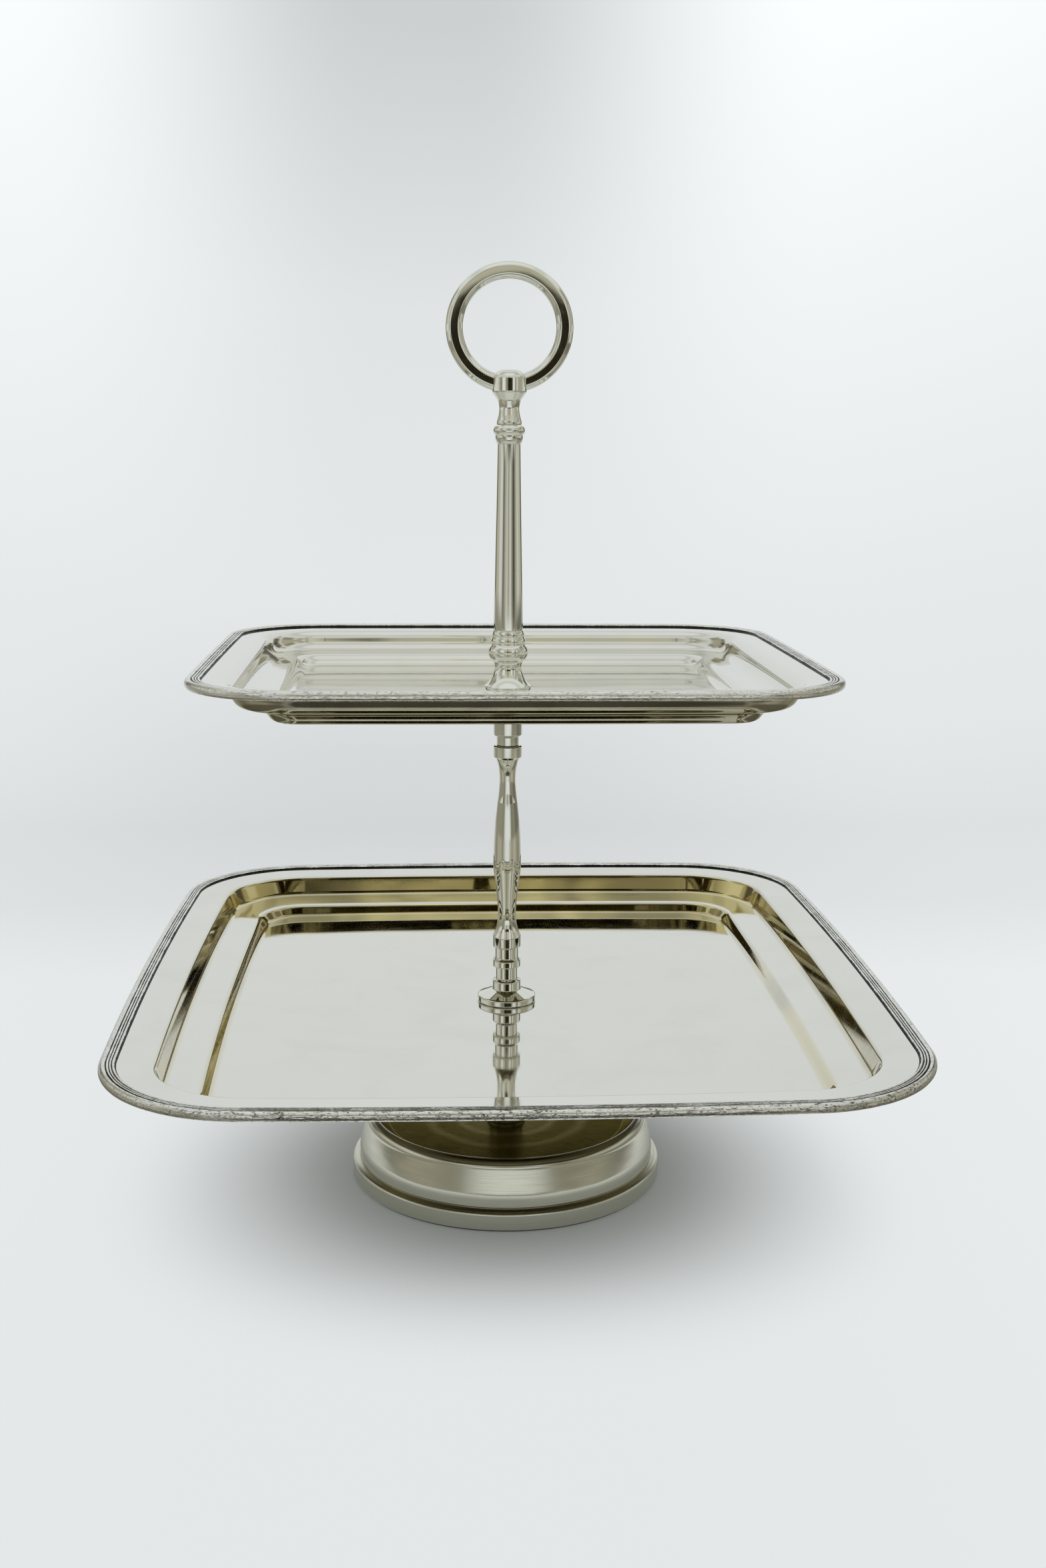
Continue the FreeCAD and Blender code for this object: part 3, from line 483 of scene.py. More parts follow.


# The colours of the foot's recess by the distance from the axis in millimetres: a dark brown that
# is partly tarnish and partly painted shade, with lighter rings that are painted reflections of the
# tray's hub.
RECESS_REACH = 60.0
RECESS_WAVER = 0.006  # how far the rings stray, in metres
RECESS_TINTS = (
    (0.0, (0.36, 0.33, 0.20)), (8.0, (0.32, 0.295, 0.175)), (18.0, (0.30, 0.275, 0.16)),
    (21.0, (0.46, 0.42, 0.26)), (24.0, (0.26, 0.235, 0.135)), (31.0, (0.24, 0.215, 0.12)),
    (34.5, (0.42, 0.38, 0.23)), (38.0, (0.24, 0.215, 0.12)), (57.0, (0.25, 0.225, 0.125)),
)


def painted_recess(name):
    """The recess of the foot: brown plate in soft rings. The brown is partly tarnish and partly
    painted shade, and the lighter rings are painted reflections of the tray's hub.
    """
    s = Shader(name)
    place = s.place()
    x, y, _ = s.split(place)
    cloud = s.noise(place, 70.0, 3.0, 0.6)
    stray = s.math("MULTIPLY", s.math("SUBTRACT", cloud, 0.5), RECESS_WAVER)
    wavy = s.math("ADD", s.reach(x, y), stray)
    tint = s.ramp(s.math("DIVIDE", wavy, RECESS_REACH * MM),
                  [(at / RECESS_REACH, rgb(*colour)) for at, colour in RECESS_TINTS])
    fine = s.noise(place, 420.0, 3.0, 0.6)
    colour = s.blend(s.ranged(fine, 0.5, 0.8, 0.0, 0.25), tint, RECESS_FLECK)
    rough = s.ranged(cloud, 0.3, 0.7, 0.22, 0.32)
    s.principled(Base_Color=colour, Metallic=1.0, Roughness=rough, Normal=s.bump(cloud, 0.0001),
                 Specular_Tint=RECESS_GLANCE)
    return s.material


def felt():
    """Dark green-grey felt with loose fibres."""
    s = Shader("felt")
    place = s.place()
    fibres = s.noise(s.stretched(place, (1.0, 1.0, 0.4)), 1500.0, 5.0, 0.75, 1.5)
    clumps = s.noise(place, 160.0, 3.0, 0.6)
    colour = s.blend(fibres, rgb(0.010, 0.012, 0.011), rgb(0.055, 0.060, 0.055))
    colour = s.blend(s.ranged(clumps, 0.4, 0.7, 0.0, 0.4), colour, rgb(0.03, 0.032, 0.03))
    normal = s.bump(fibres, 0.0003)
    s.principled(Base_Color=colour, Roughness=0.95, Normal=normal, Sheen_Weight=0.4)
    return s.material


def rubber():
    """Black rubber with a little dust on it."""
    s = Shader("gasket_rubber")
    place = s.place()
    grain = s.noise(place, 1200.0, 4.0, 0.7)
    dust = s.noise(place, 140.0, 3.0, 0.6)
    colour = s.blend(s.ranged(dust, 0.45, 0.75, 0.0, 0.5), rgb(0.016, 0.016, 0.015),
                     rgb(0.060, 0.058, 0.052))
    rough = s.ranged(grain, 0.3, 0.7, 0.5, 0.75)
    s.principled(Base_Color=colour, Roughness=rough, Normal=s.bump(grain, 0.00006))
    return s.material


def fastener():
    """Zinc-plated steel: a grey spangle with fine turning marks."""
    s = Shader("fastener_steel")
    place = s.place()
    spangle = s.noise(place, 260.0, 4.0, 0.6, 0.8)
    marks = s.noise(s.stretched(place, (60.0, 60.0, 3200.0)), 1.0, 2.0, 0.6)
    colour = s.blend(spangle, rgb(0.36, 0.37, 0.37), rgb(0.60, 0.60, 0.57))
    rough = s.ranged(marks, 0.3, 0.7, 0.24, 0.42)
    s.principled(Base_Color=colour, Metallic=1.0, Roughness=rough, Normal=s.bump(marks, 0.00002))
    return s.material


TRAY_METAL = polished("tray_metal", amber_walls=True)
# The floor's underside: partly tarnish, partly painted shade under the tray.
BACK_METAL = underside("tray_back_metal", BACK_BROWN, BACK_TAN, haze=(0.08, 0.16))
BACK_WALL_METAL = underside("tray_back_wall_metal", WALL_TAN, WALL_SILVER, haze=(0.03, 0.07))
COLUMN_METAL = polished("column_metal", wave=0.00006, wave_scale=60.0, spots=0.8,
                        haze=(0.03, 0.08), clean=COLUMN_SILVER)
# The foot's recess metal: painted shade in its brown and painted reflections in its lighter rings.
RECESS_METAL = painted_recess("foot_recess_metal")
FOOT_METAL = brushed("foot_metal", haze=(0.15, 0.25), anisotropy=0.6)
BORDER_METAL = worn_border()
FELT = felt()
RUBBER = rubber()
STEEL = fastener()

# ---------------------------------------------------------------- turned pieces

# Each piece's body, slot, metal, number of steps round, fillet and half section. The section has
# (radius, height above the piece's base) in millimetres, with bends and fillets as in trace().
TURNED = {
    "foot_rim_ring": ("stand", "foot_plate", FOOT_METAL, 256, 0.5, [
        (57, 0), (69.2, 0, 0, 0.25), (69.2, 6.2), (68.0, 7.4, 1.2), (66.2, 8.4), (57, 8.4)]),
    "foot_drum": ("stand", "foot_plate", FOOT_METAL, 256, 0.6, [
        (64, 0), (66, 0), (66, 5, 0, 1.6), (63.3, 15.9), (60.2, 19.6, 4.08), (58.8, 19.6),
        (57.5, 18.2), (53, 15), (12, 14.4), (2.1, 14.4), (2.1, 12.4), (12, 12.4), (53, 13),
        (57.5, 16.2), (58.2, 15.6), (61.3, 13.9), (64, 3)]),
    # The pillar and the lower washer take the recess metal: its dark brown is painted shade for
    # their place under the tray, besides tarnish.
    "foot_pillar": ("stand", "column_plate", RECESS_METAL, 96, 0.3, [
        (2.1, 0), (8.6, 0), (8.6, 1.6), (7.35, 3.2), (7.35, 51.35), (2.1, 51.35)]),
    "lower_support_washer": ("stand", "steel", RECESS_METAL, 96, 0.3, [
        (2.1, 0), (7.35, 0), (20, 1.0), (20, 2.2), (2.1, 2.2)]),
    "lower_flange": ("stand", "column_plate", COLUMN_METAL, 96, 0.3, [
        (2.1, 0), (12.55, 0), (12.95, 0.4), (12.95, 2.6), (12.55, 3), (6.3, 5.5), (6.3, 9.2),
        (5.9, 9.6), (4.8, 10.4), (4.8, 15.7), (2.1, 15.7)]),
    "lower_collar": ("stand", "column_plate", COLUMN_METAL, 96, 0.25, [
        (2.1, 0), (5.78, 0), (6.18, 0.4), (6.18, 3.0), (5.78, 3.4), (5.16, 4.2), (5.16, 9.1),
        (2.1, 9.1)]),
    "lower_baluster": ("stand", "column_plate", COLUMN_METAL, 96, 0.3, [
        (2.1, 0), (5.83, 0), (6.23, 0.4), (6.23, 4.9), (4.0, 15.0, -23), (4.66, 24.0, -62),
        (5.45, 31.2), (6.18, 40.6, 62), (5.4, 58.1, 196), (4.55, 65.6), (3.62, 76.1, -62),
        (5.1, 85.2, -30), (6.34, 86.0), (6.34, 90.65), (5.94, 91.05), (2.1, 91.05)]),
    "upper_seat_collar": ("stand", "column_plate", COLUMN_METAL, 96, 0.3, [
        (2.1, 0), (4.9, 0), (4.9, 3.9), (5.9, 4.3), (6.3, 4.7), (6.3, 18.75), (2.1, 18.75)]),
    "upper_support_washer": ("stand", "steel", COLUMN_METAL, 96, 0.3, [
        (2.1, 0), (13, 0), (13, 2), (2.1, 2)]),
    "upper_column_base": ("handle", "column_plate", COLUMN_METAL, 96, 0.3, [
        (2.1, 0), (8.9, 0), (10.15, 3.1, 3.0), (5.9, 11.15, -11.5), (6.7, 13.75, -5.0),
        (7.35, 21.05, 5.0), (6.9, 24.45, 4.4), (6.4, 27.25, 5.1), (2.1, 27.25)]),
    "upper_column_tube": ("handle", "column_plate", COLUMN_METAL, 96, 0.2, [
        (3.6, 0), (6.4, 0), (4.9, 78.6), (3.6, 78.6)]),
    "handle_collar": ("handle", "column_plate", COLUMN_METAL, 96, 0.2, [
        (2.1, 0), (5.1, 0), (5.9, 3.6, 5.8), (5.4, 7.9, 2.6), (2.1, 7.9)]),
    "handle_stem": ("handle", "column_plate", COLUMN_METAL, 96, 0.45, [
        (2.1, 0), (5.4, 0), (5.4, 1.4), (4.28, 6.8, -17), (5.0, 10.2, -17), (7.4, 13.4),
        (7.4, 19.4), (3.4, 22.6, 6), (0, 22.6), (0, 8), (2.1, 8)]),
}

# The recess on top of the drum lies between two radii and above a height over its base; it takes
# the recess metal, with its painted shade and painted reflections.
DISH_FROM, DISH_TO, DISH_LOWEST = 2.0, 59.0, 14.0


def make_turned(node, body, slot, metal, count, fillet, section):
    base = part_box(node)[0].z / MM
    points, tangents = trace([(c[0], c[1] + base) + tuple(c[2:]) for c in section], fillet)
    rows, normals = swept(circle_path(count), points, tangents)
    strips = None
    metals = [metal]
    if node == "foot_drum":
        metals.append(RECESS_METAL)
        strips = [1 if DISH_FROM < radius < DISH_TO and height > base + DISH_LOWEST else 0
                  for radius, height in points]
    make_piece(node + "_plated", rows, normals, body, node, metals, strips=strips)


for node, row in TURNED.items():
    make_turned(node, *row)

# The ring's section as (distance from its centre, distance to the side), before it is set upright.
RING_SECTION = [
    (19.8, 1.5, 3.4), (19.8, -1.5, 3.4), (21.6, -3.1, 3.4), (24.8, -3.1, 200.0), (26.4, -1.5, 3.4),
    (26.4, 1.5, 3.4), (24.8, 3.1, 3.4), (21.6, 3.1, 200.0),
]
RING_DETAIL = 0.35
RING_STEPS = 192


def make_ring():
    low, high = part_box("handle_ring")
    points, tangents = trace(RING_SECTION, RING_DETAIL, arc_step=RING_DETAIL)
    rows, normals = swept(circle_path(RING_STEPS), points, tangents)
    centre = Matrix.Translation((0, 0, (low.z + high.z) / 2 / MM))
    upright = centre @ Matrix.Rotation(HALF_PI, 4, "X")
    make_piece("handle_ring_plated", rows, normals, "handle", "handle_ring",
               [COLUMN_METAL], turn=upright)


make_ring()

# ---------------------------------------------------------------- trays

SHEET = 1.2
HOLE = 2.08
# Each tray's outline and section, in millimetres. corner is the radius of a corner, and the bows
# are those of the slightly curved sides. edge is the height of the sheet's edge over the floor, and
# sag how far the floor's middle hangs below its rim. A station is (distance in from the edge,
# height over the floor, fillet). The wear and the amber share, from 0 to 1, say how worn the border
# is and how amber the walls are; the amber is partly real yellowing and partly a painted
# reflection.
TRAYS = {
    "lower": {
        "half_width": 160.0, "half_depth": 183.0, "corner": 59.3, "bow_width": 3300.0,
        "bow_depth": 2300.0, "edge": 17.3, "sag": 1.1, "wear": 1.0, "amber_tint": 1.0,
        "stations": [(40.2, 0.0, 1.6), (36.8, 4.6, 1.6), (23.6, 7.0, 1.8), (20.3, 16.0, 1.8)],
    },
    "upper": {
        "half_width": 128.5, "half_depth": 121.8, "corner": 44.4, "bow_width": 9000.0,
        "bow_depth": 6000.0, "edge": 15.7, "sag": 1.1, "wear": 0.2, "amber_tint": 0.15,
        "stations": [(34.6, 0.0, 2.6), (31.6, 4.4, 2.6), (20.0, 6.4, 4.0), (17.6, 14.4, 4.0)],
    },
}
EDGE_INSET = 1.3
EDGE_FILLET = 0.3
FLOOR_MARGIN = 8.0  # the width of floor that belongs to the swept section
HUB_STEPS = 16
HUB_SHARE = 0.06  # the last loop's size before the hole, against the first
SIDE_STEP, CORNER_STEP = 8.0, 1.6
BORDER_SIDE_STEP, BORDER_CORNER_STEP = 1.3, 1.1

# The share of the amber along a tray's depth, from the front at -1 to the back at 1. Its rise at
# the back is a painted reflection of warm gold on the back walls.
AMBER_ALONG = ((-0.9, 0.6), (-0.6, 0.42), (0.5, 0.36), (0.76, 1.0))


def hub_rows(row, z, facing):
    """Flat rows from a loop on the floor in to the hole for the rod."""
    flat = np.full(len(row), z)
    rows = []
    for factor in np.linspace(1.0, HUB_SHARE, HUB_STEPS + 1)[1:]:
        rows.append(np.column_stack([row[:, :2] * factor, flat]))
    angles = np.arctan2(row[:, 1], row[:, 0])
    rows.append(np.column_stack([HOLE * np.cos(angles), HOLE * np.sin(angles), flat]))
    normals = np.zeros((len(rows), len(row), 3))
    normals[:, :, 2] = facing
    return np.array(rows), normals


def sheet_section(form, floor):
    """The sheet's section, from the floor's underside out to the edge and back over the top."""
    inner = form["stations"][0][0] + FLOOR_MARGIN
    top = [(-EDGE_INSET, floor + form["edge"], 0, EDGE_FILLET)]
    top += [(-inset, floor + height, 0, fillet)
            for inset, height, fillet in reversed(form["stations"])]
    top.append((-inner, floor))
    under = [(-inner, floor - SHEET)]
    under += [(-inset + SHEET, floor + height - SHEET, 0, fillet)
              for inset, height, fillet in form["stations"]]
    under.append((-EDGE_INSET, floor + form["edge"] - SHEET, 0, EDGE_FILLET))
    return trace(under + top, EDGE_FILLET, closed=False)


def sag(rows, normals, form):
    """Leaves the floor's middle where it is and lifts all else, most of all what isn't floor."""
    reach_x = form["half_width"] - form["stations"][0][0]
    reach_y = form["half_depth"] - form["stations"][0][0]
    x, y = rows[:, :, 0] / reach_x, rows[:, :, 1] / reach_y
    on_floor = np.maximum(abs(x), abs(y)) < 1
    x, y = np.clip(x, -1, 1), np.clip(y, -1, 1)
    lift = form["sag"] * (1 - (1 - x * x) * (1 - y * y))
    slope_x = form["sag"] * 2 * x * (1 - y * y) / reach_x * on_floor
    slope_y = form["sag"] * 2 * y * (1 - x * x) / reach_y * on_floor
    rows[:, :, 2] += lift
    tilt = np.stack([-slope_x, -slope_y, np.zeros_like(slope_x)], axis=2) * normals[:, :, 2:3]
    normals = normals + tilt
    return rows, normals / np.linalg.norm(normals, axis=2, keepdims=True)


def amber_tint(rows, form, profile, first):
    """How amber the sheet is: on its two walls, seen from above, and most of all at the back. The
    amber is partly real yellowing and partly a painted reflection of warm gold, strongest at the
    back.

    profile is the upper part of the section, and first the row that its first point makes.
    """
    foot, shelf_in, shelf_out, brink = (station[0] for station in form["stations"])
    across = (
        (brink - 0.6, 0), (brink + 0.6, 1), (shelf_out + 0.2, 1), (shelf_out + 1.4, 0),
        (shelf_in - 0.6, 0), (shelf_in + 0.4, 1), (foot, 1), (foot + 1.2, 0),
    )
    amber_mark = np.zeros(rows.shape[:2])
    walls = np.interp(-profile[:, 0], *zip(*across)) * form["amber_tint"]
    amber_mark[first:first + len(profile)] = walls[:, None]
    return amber_mark * np.interp(rows[:, :, 1] / form["half_depth"], *zip(*AMBER_ALONG))


def make_tray(tier, form):
    node = tier + "_tray"
    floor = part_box(node)[0].z / MM + SHEET
    points, tangents = sheet_section(form, floor)
    rows, normals = swept(tray_path(form, SIDE_STEP, CORNER_STEP), points, tangents)
    top_hub, top_normals = hub_rows(rows[-1], floor, 1.0)
    low_hub, low_normals = hub_rows(rows[0], floor - SHEET, -1.0)
    rows = np.concatenate([low_hub[::-1], rows, top_hub])
    normals = np.concatenate([low_normals[::-1], normals, top_normals])
    rows, normals = sag(rows, normals, form)
    edge = int(np.argmax(points[:, 0] * 1000 - points[:, 1]))  # the outermost point, the lower one
    first_above = len(low_hub) + edge
    strips = [1 if number < len(low_hub) else 2 if number < first_above else 0
              for number in range(len(rows))]
    # The amber mark: partly real yellowing, partly a painted reflection of warm gold, most at the
    # back.
    amber_mark = amber_tint(rows, form, points[edge:], first_above)
    make_piece(node + "_plated", rows, normals, tier + "_tier", node,
               [TRAY_METAL, BACK_METAL, BACK_WALL_METAL], strips=strips, marks={"amber_mark": amber_mark})


# The border's section as (distance out from the tray's edge, height above its top, bend).
BORDER_SECTION = [
    (-0.9, -3.8), (0.0, -1.9, 1.9), (-1.4, 0.0, 1.95), (-2.75, -0.62, 1.9), (-3.9, -0.62, 0.62),
    (-4.9, -0.62, 0.56), (-6.3, -0.80, 0.80), (-7.2, -1.95), (-1.25, -1.95), (-1.25, -3.8),
]
# Each groove's distance in from the edge, its width and the patina it holds.
GROOVES = ((2.75, 0.38, 1.15), (3.9, 0.30, 1.05), (4.9, 0.30, 1.10), (6.9, 0.95, 1.7))
UNDER_RIM = (-2.0, -0.95, 0.25)  # in to this x and below this height, the patina is even
BORDER_FILLET = 0.12
BORDER_DETAIL = 0.2
OUTER_FACE = (-2.2, -3.4)  # the face that gets knocked lies outside this x and above this height
FRONT_FROM, FRONT_RATE = 0.75, 6  # where along the depth the worn front begins, and how fast
EVEN_WEAR, FRONT_WEAR = 0.30, 1.10
INNER_WEAR = 0.45  # the share of the wear inside the outer face
RUBBED_PATINA = 0.6  # the patina that an unworn border lacks at the front
PATCH_SCALE, PATCH_SHIFT = 0.035, Vector((3.1, 0, 0))
DENT_SCALE, DENT_DEPTH = 0.30, 0.06
PIT_SCALE, PIT_LEVEL, PIT_DEPTH = 0.75, 0.30, 0.55
INNER_PITS = 0.3
DEEPEST_PIT = 0.3


def groove_share(x, z):
    """How much patina a point of the section holds, from 0 to about 1."""
    under_x, under_z, even_share = UNDER_RIM
    if z < under_z and x > under_x:
        return even_share
    return max(share * math.exp(-((-x - inset) / width) ** 2) for inset, width, share in GROOVES)


def make_border(tier, form):
    """The reeded border, with shallow dents and pits that are deepest at the worn front."""
    node = tier + "_tray_border"
    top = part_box(node)[1].z / MM
    section = [(corner[0], corner[1] + top) + tuple(corner[2:]) for corner in BORDER_SECTION]
    points, tangents = trace(section, BORDER_FILLET, arc_step=BORDER_DETAIL)
    rows, normals = swept(tray_path(form, BORDER_SIDE_STEP, BORDER_CORNER_STEP), points, tangents)
    grooves = np.zeros(rows.shape[:2])
    wear = np.zeros(rows.shape[:2])
    unworn = 1 - form["wear"]
    for number, (x, z) in enumerate(points):
        outside = x > OUTER_FACE[0] and z > top + OUTER_FACE[1]
        patina = groove_share(x, z - top)
        for column in range(rows.shape[1]):
            place = Vector(rows[number, column])
            patches = noise.noise(place * PATCH_SCALE + PATCH_SHIFT) * 0.5 + 0.5
            along = -place.y / form["half_depth"]
            front = max(0.0, min(1.0, (along - FRONT_FROM) * FRONT_RATE))
            share = EVEN_WEAR + FRONT_WEAR * front * patches * form["wear"]
            grooves[number, column] = patina * (1 - RUBBED_PATINA * front * unworn)
            wear[number, column] = min(1.0, share) * (1.0 if outside else INNER_WEAR)
            dent = noise.noise(place * DENT_SCALE) * DENT_DEPTH
            drawn = Vector((place.x, place.y * 1.2, place.z * 2)) * PIT_SCALE
            pit = max(0.0, noise.noise(drawn) - PIT_LEVEL) * PIT_DEPTH
            depth = dent + pit * wear[number, column] * (1.0 if outside else INNER_PITS)
            rows[number, column] -= normals[number, column] * min(max(depth, 0.0), DEEPEST_PIT)
    make_piece(node + "_plated", rows, None, tier + "_tier", node, [BORDER_METAL],
               marks={"groove": grooves, "wear": wear})


for tier, form in TRAYS.items():
    make_tray(tier, form)
    make_border(tier, form)

# ---------------------------------------------------------------- CAD pieces that stay

for node, material in (
    ("foot_felt_ring", FELT), ("lower_gasket", RUBBER), ("upper_gasket", RUBBER),
    ("foot_clamp_washer", STEEL), ("foot_lock_washer", STEEL), ("foot_nut", STEEL),
    ("tie_rod", STEEL), ("handle_stud", STEEL),
):
    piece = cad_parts[node]
    if not piece.material_slots:
        piece.data.materials.append(material)
    for holder in piece.material_slots:
        holder.material = material

# ---------------------------------------------------------------- studio

# The sweep: a flat floor, a round turn and an upright backdrop, in metres.
FLOOR_FLAT = 0.80
SWEEP_ROUND = 0.60
SWEEP_HEIGHT = 3.0
SWEEP_STEPS = 16
AROUND = 128


def revolved(name, profile, material, camera):
    """A surface of revolution in the studio. It doesn't light matt surfaces or cast a shadow."""
    angles = [2 * math.pi * k / AROUND for k in range(AROUND)]
    vertices = [(r * math.cos(angle), r * math.sin(angle), z)
                for r, z in profile for angle in angles]
    faces = []
    for ring in range(len(profile) - 1):
        low = ring * AROUND
        for k in range(AROUND):
            following = (k + 1) % AROUND
            faces.append((low + k, low + AROUND + k, low + AROUND + following, low + following))
    mesh = bpy.data.meshes.new(name)
    mesh.from_pydata(vertices, [], faces)
    mesh.polygons.foreach_set("use_smooth", [True] * len(mesh.polygons))
    mesh.materials.append(material)
    thing = bpy.data.objects.new(name, mesh)
    bpy.context.scene.collection.objects.link(thing)
    thing.visible_camera = camera
    thing.visible_diffuse = False
    thing.visible_shadow = False


# The studio's tints, each by its brightness.


def pale(level):
    return rgb(level * 0.965, level, level * 1.005)


def warm(level):
    return rgb(level, level * 0.82, level * 0.46)


def olive(level):
    return rgb(level, level * 0.97, level * 0.78)


# Brightness of the sweep up the middle and at the sides, by the distance towards the back plus the
# height, in metres. The two blend between two distances from the upright plane at SWEEP_MIDDLE.
SWEEP_NEAR, SWEEP_FAR = 0.17, 2.20
MIDDLE = ((0.17, 0.80), (0.29, 0.80), (0.47, 0.72), (0.72, 0.67), (0.98, 0.70), (1.33, 0.80),
          (1.62, 0.79), (1.86, 0.775), (2.04, 0.70), (2.20, 0.63))
SIDES = ((0.17, 0.855), (0.29, 0.85), (0.47, 0.775), (0.72, 0.755), (0.98, 0.80), (1.33, 0.825),
         (1.62, 0.87), (1.86, 0.92), (2.04, 0.975), (2.20, 1.03))
SWEEP_MIDDLE = -0.04
SIDES_FROM, SIDES_FULL = 0.05, 0.48
# The matt floor that takes the object's shadow gives way to the glowing sweep between these radii.
MATT_WITHIN, GLOW_BEYOND = 0.045, 0.20


def sweep_material():
    """A matt floor that turns into a softly glowing backdrop away from the object."""
    s = Shader("studio_sweep")
    place = s.place()
    x, y, z = s.split(place)
    paper = s.noise(place, 400.0, 3.0, 0.6)
    matt = s.add("ShaderNodeBsdfDiffuse", {
        "Color": s.blend(paper, rgb(0.84, 0.865, 0.87), rgb(0.86, 0.885, 0.89))})
    height = s.ranged(s.math("ADD", y, z), SWEEP_NEAR, SWEEP_FAR, smooth=False)
    span = SWEEP_FAR - SWEEP_NEAR
    middle, sides = (
        s.ramp(height, [((at - SWEEP_NEAR) / span, pale(level)) for at, level in stops])
        for stops in (MIDDLE, SIDES))
    aside = s.math("ABSOLUTE", s.math("ADD", x, -SWEEP_MIDDLE))
    across = s.ranged(aside, SIDES_FROM, SIDES_FULL)
    glow = s.add("ShaderNodeEmission", {"Color": s.blend(across, middle, sides), "Strength": 1.0})
    glowing = s.ranged(s.reach(x, y), MATT_WITHIN, GLOW_BEYOND)
    mix = s.add("ShaderNodeMixShader", {0: glowing, 1: matt.outputs[0], 2: glow.outputs[0]})
    s.tree.links.new(mix.outputs[0], s.output.inputs["Surface"])
    return s.material


# What polished metal mirrors, by the angle round from the front, in degrees, negative to the left.
# There is one row of colours for each band of height: the floor, what the foot's side sees, what
# the column sees, what the ring sees, what the trays' walls see, and what lies above them. The
# levels were set against the photo's reflections.
FLOOR_VIEW = (
    (-180, pale(0.80)), (-140, pale(0.66)), (-113, olive(0.32)), (-100, olive(0.27)),
    (-84, olive(0.42)), (-55, olive(0.42)), (-39, olive(0.26)), (-24, pale(0.60)),
    (-11, pale(0.80)), (5, pale(0.80)), (17, pale(0.60)), (27, olive(0.40)), (42, olive(0.36)),
    (56, olive(0.48)), (70, olive(0.42)), (86, olive(0.28)), (113, olive(0.32)), (140, pale(0.66)),
    (180, pale(0.80)),
)
FOOT_VIEW = (
    (-180, pale(0.80)), (-145, pale(0.66)), (-125, olive(0.30)), (-60, olive(0.30)),
    (-34, olive(0.26)), (-24, pale(0.70)), (-10, pale(0.84)), (14, pale(0.84)), (24, pale(0.66)),
    (33, olive(0.24)), (60, olive(0.26)), (84, olive(0.16)), (120, olive(0.22)), (145, pale(0.62)),
    (180, pale(0.80)),
)
COLUMN_VIEW = (
    (-180, pale(0.78)), (-150, pale(0.78)), (-143, olive(0.12)), (-130, olive(0.10)),
    (-124, olive(0.45)), (-96, olive(0.50)), (-78, pale(0.72)), (-62, pale(0.66)),
    (-50, olive(0.15)), (-44, olive(0.20)), (-33, olive(0.42)), (-17, pale(0.60)),
    (-7, olive(0.55)), (-4, olive(0.10)), (-1, olive(0.50)), (15, pale(0.64)), (25, olive(0.30)),
    (36, olive(0.10)), (45, olive(0.06)), (52, olive(0.30)), (64, olive(0.42)), (76, pale(0.64)),
    (100, olive(0.52)), (121, olive(0.42)), (127, olive(0.10)), (141, olive(0.10)),
    (148, pale(0.76)), (180, pale(0.78)),
)
RING_VIEW = (
    (-180, pale(0.79)), (-150, pale(0.79)), (-142, olive(0.10)), (-128, olive(0.10)),
    (-122, pale(0.74)), (-86, pale(0.74)), (-70, olive(0.50)), (-56, olive(0.18)),
    (-44, pale(0.86)), (-31, pale(0.82)), (-23, olive(0.28)), (-14, olive(0.30)),
    (-11, warm(0.06)), (-9, warm(0.020)), (12, warm(0.020)), (15, warm(0.08)), (19, olive(0.34)),
    (23, pale(0.84)), (32, pale(0.78)), (39, olive(0.16)), (47, pale(0.78)), (58, olive(0.40)),
    (86, olive(0.40)), (98, pale(0.66)), (122, pale(0.66)), (128, olive(0.09)), (140, olive(0.09)),
    (148, pale(0.78)), (180, pale(0.79)),
)
WALL_VIEW = (
    (-180, pale(0.79)), (-150, pale(0.79)), (-142, olive(0.20)), (-128, olive(0.40)),
    (-106, olive(0.44)), (-94, pale(0.74)), (-60, olive(0.36)), (-44, pale(0.80)),
    (-30, pale(0.76)), (-21, olive(0.46)), (-14, olive(0.54)), (-8, olive(0.50)),
    (-6, olive(0.10)), (-4, olive(0.10)), (-2, olive(0.52)), (5, olive(0.48)), (16, olive(0.58)),
    (24, pale(0.80)), (32, pale(0.74)), (40, olive(0.24)), (48, pale(0.76)), (58, olive(0.44)),
    (110, olive(0.44)), (118, pale(0.66)), (128, olive(0.16)), (140, olive(0.16)),
    (148, pale(0.78)), (180, pale(0.79)),
)
RAISED_VIEW = (
    (-180, pale(0.80)), (-145, pale(0.80)), (-132, olive(0.40)), (-106, olive(0.30)),
    (-96, pale(0.74)), (-78, pale(0.74)), (-56, olive(0.40)), (-30, pale(0.62)),
    (-12, olive(0.56)), (-6, olive(0.50)), (-5, olive(0.20)), (-4, olive(0.20)), (-3, olive(0.50)),
    (14, olive(0.60)), (40, pale(0.62)), (60, olive(0.42)), (76, pale(0.66)), (86, olive(0.30)),
    (112, olive(0.30)), (122, pale(0.78)), (134, olive(0.40)), (147, pale(0.80)),
    (180, pale(0.80)),
)
# The levels overhead, by height.
CEILING_VIEW = ((0.0, pale(0.80)), (1.70, pale(0.78)), (1.95, pale(0.66)), (2.50, pale(0.66)),
                (2.75, pale(0.78)), (3.10, pale(0.86)))
CEILING_FROM, CEILING_TO, CEILING_TOP = 1.15, 1.28, 3.1
# The heights between which each band takes over from the one below it.
BANDS = ((0.02, 0.04, FOOT_VIEW), (0.17, 0.20, COLUMN_VIEW), (0.34, 0.37, RING_VIEW),
         (0.465, 0.49, WALL_VIEW), (0.80, 0.88, RAISED_VIEW))
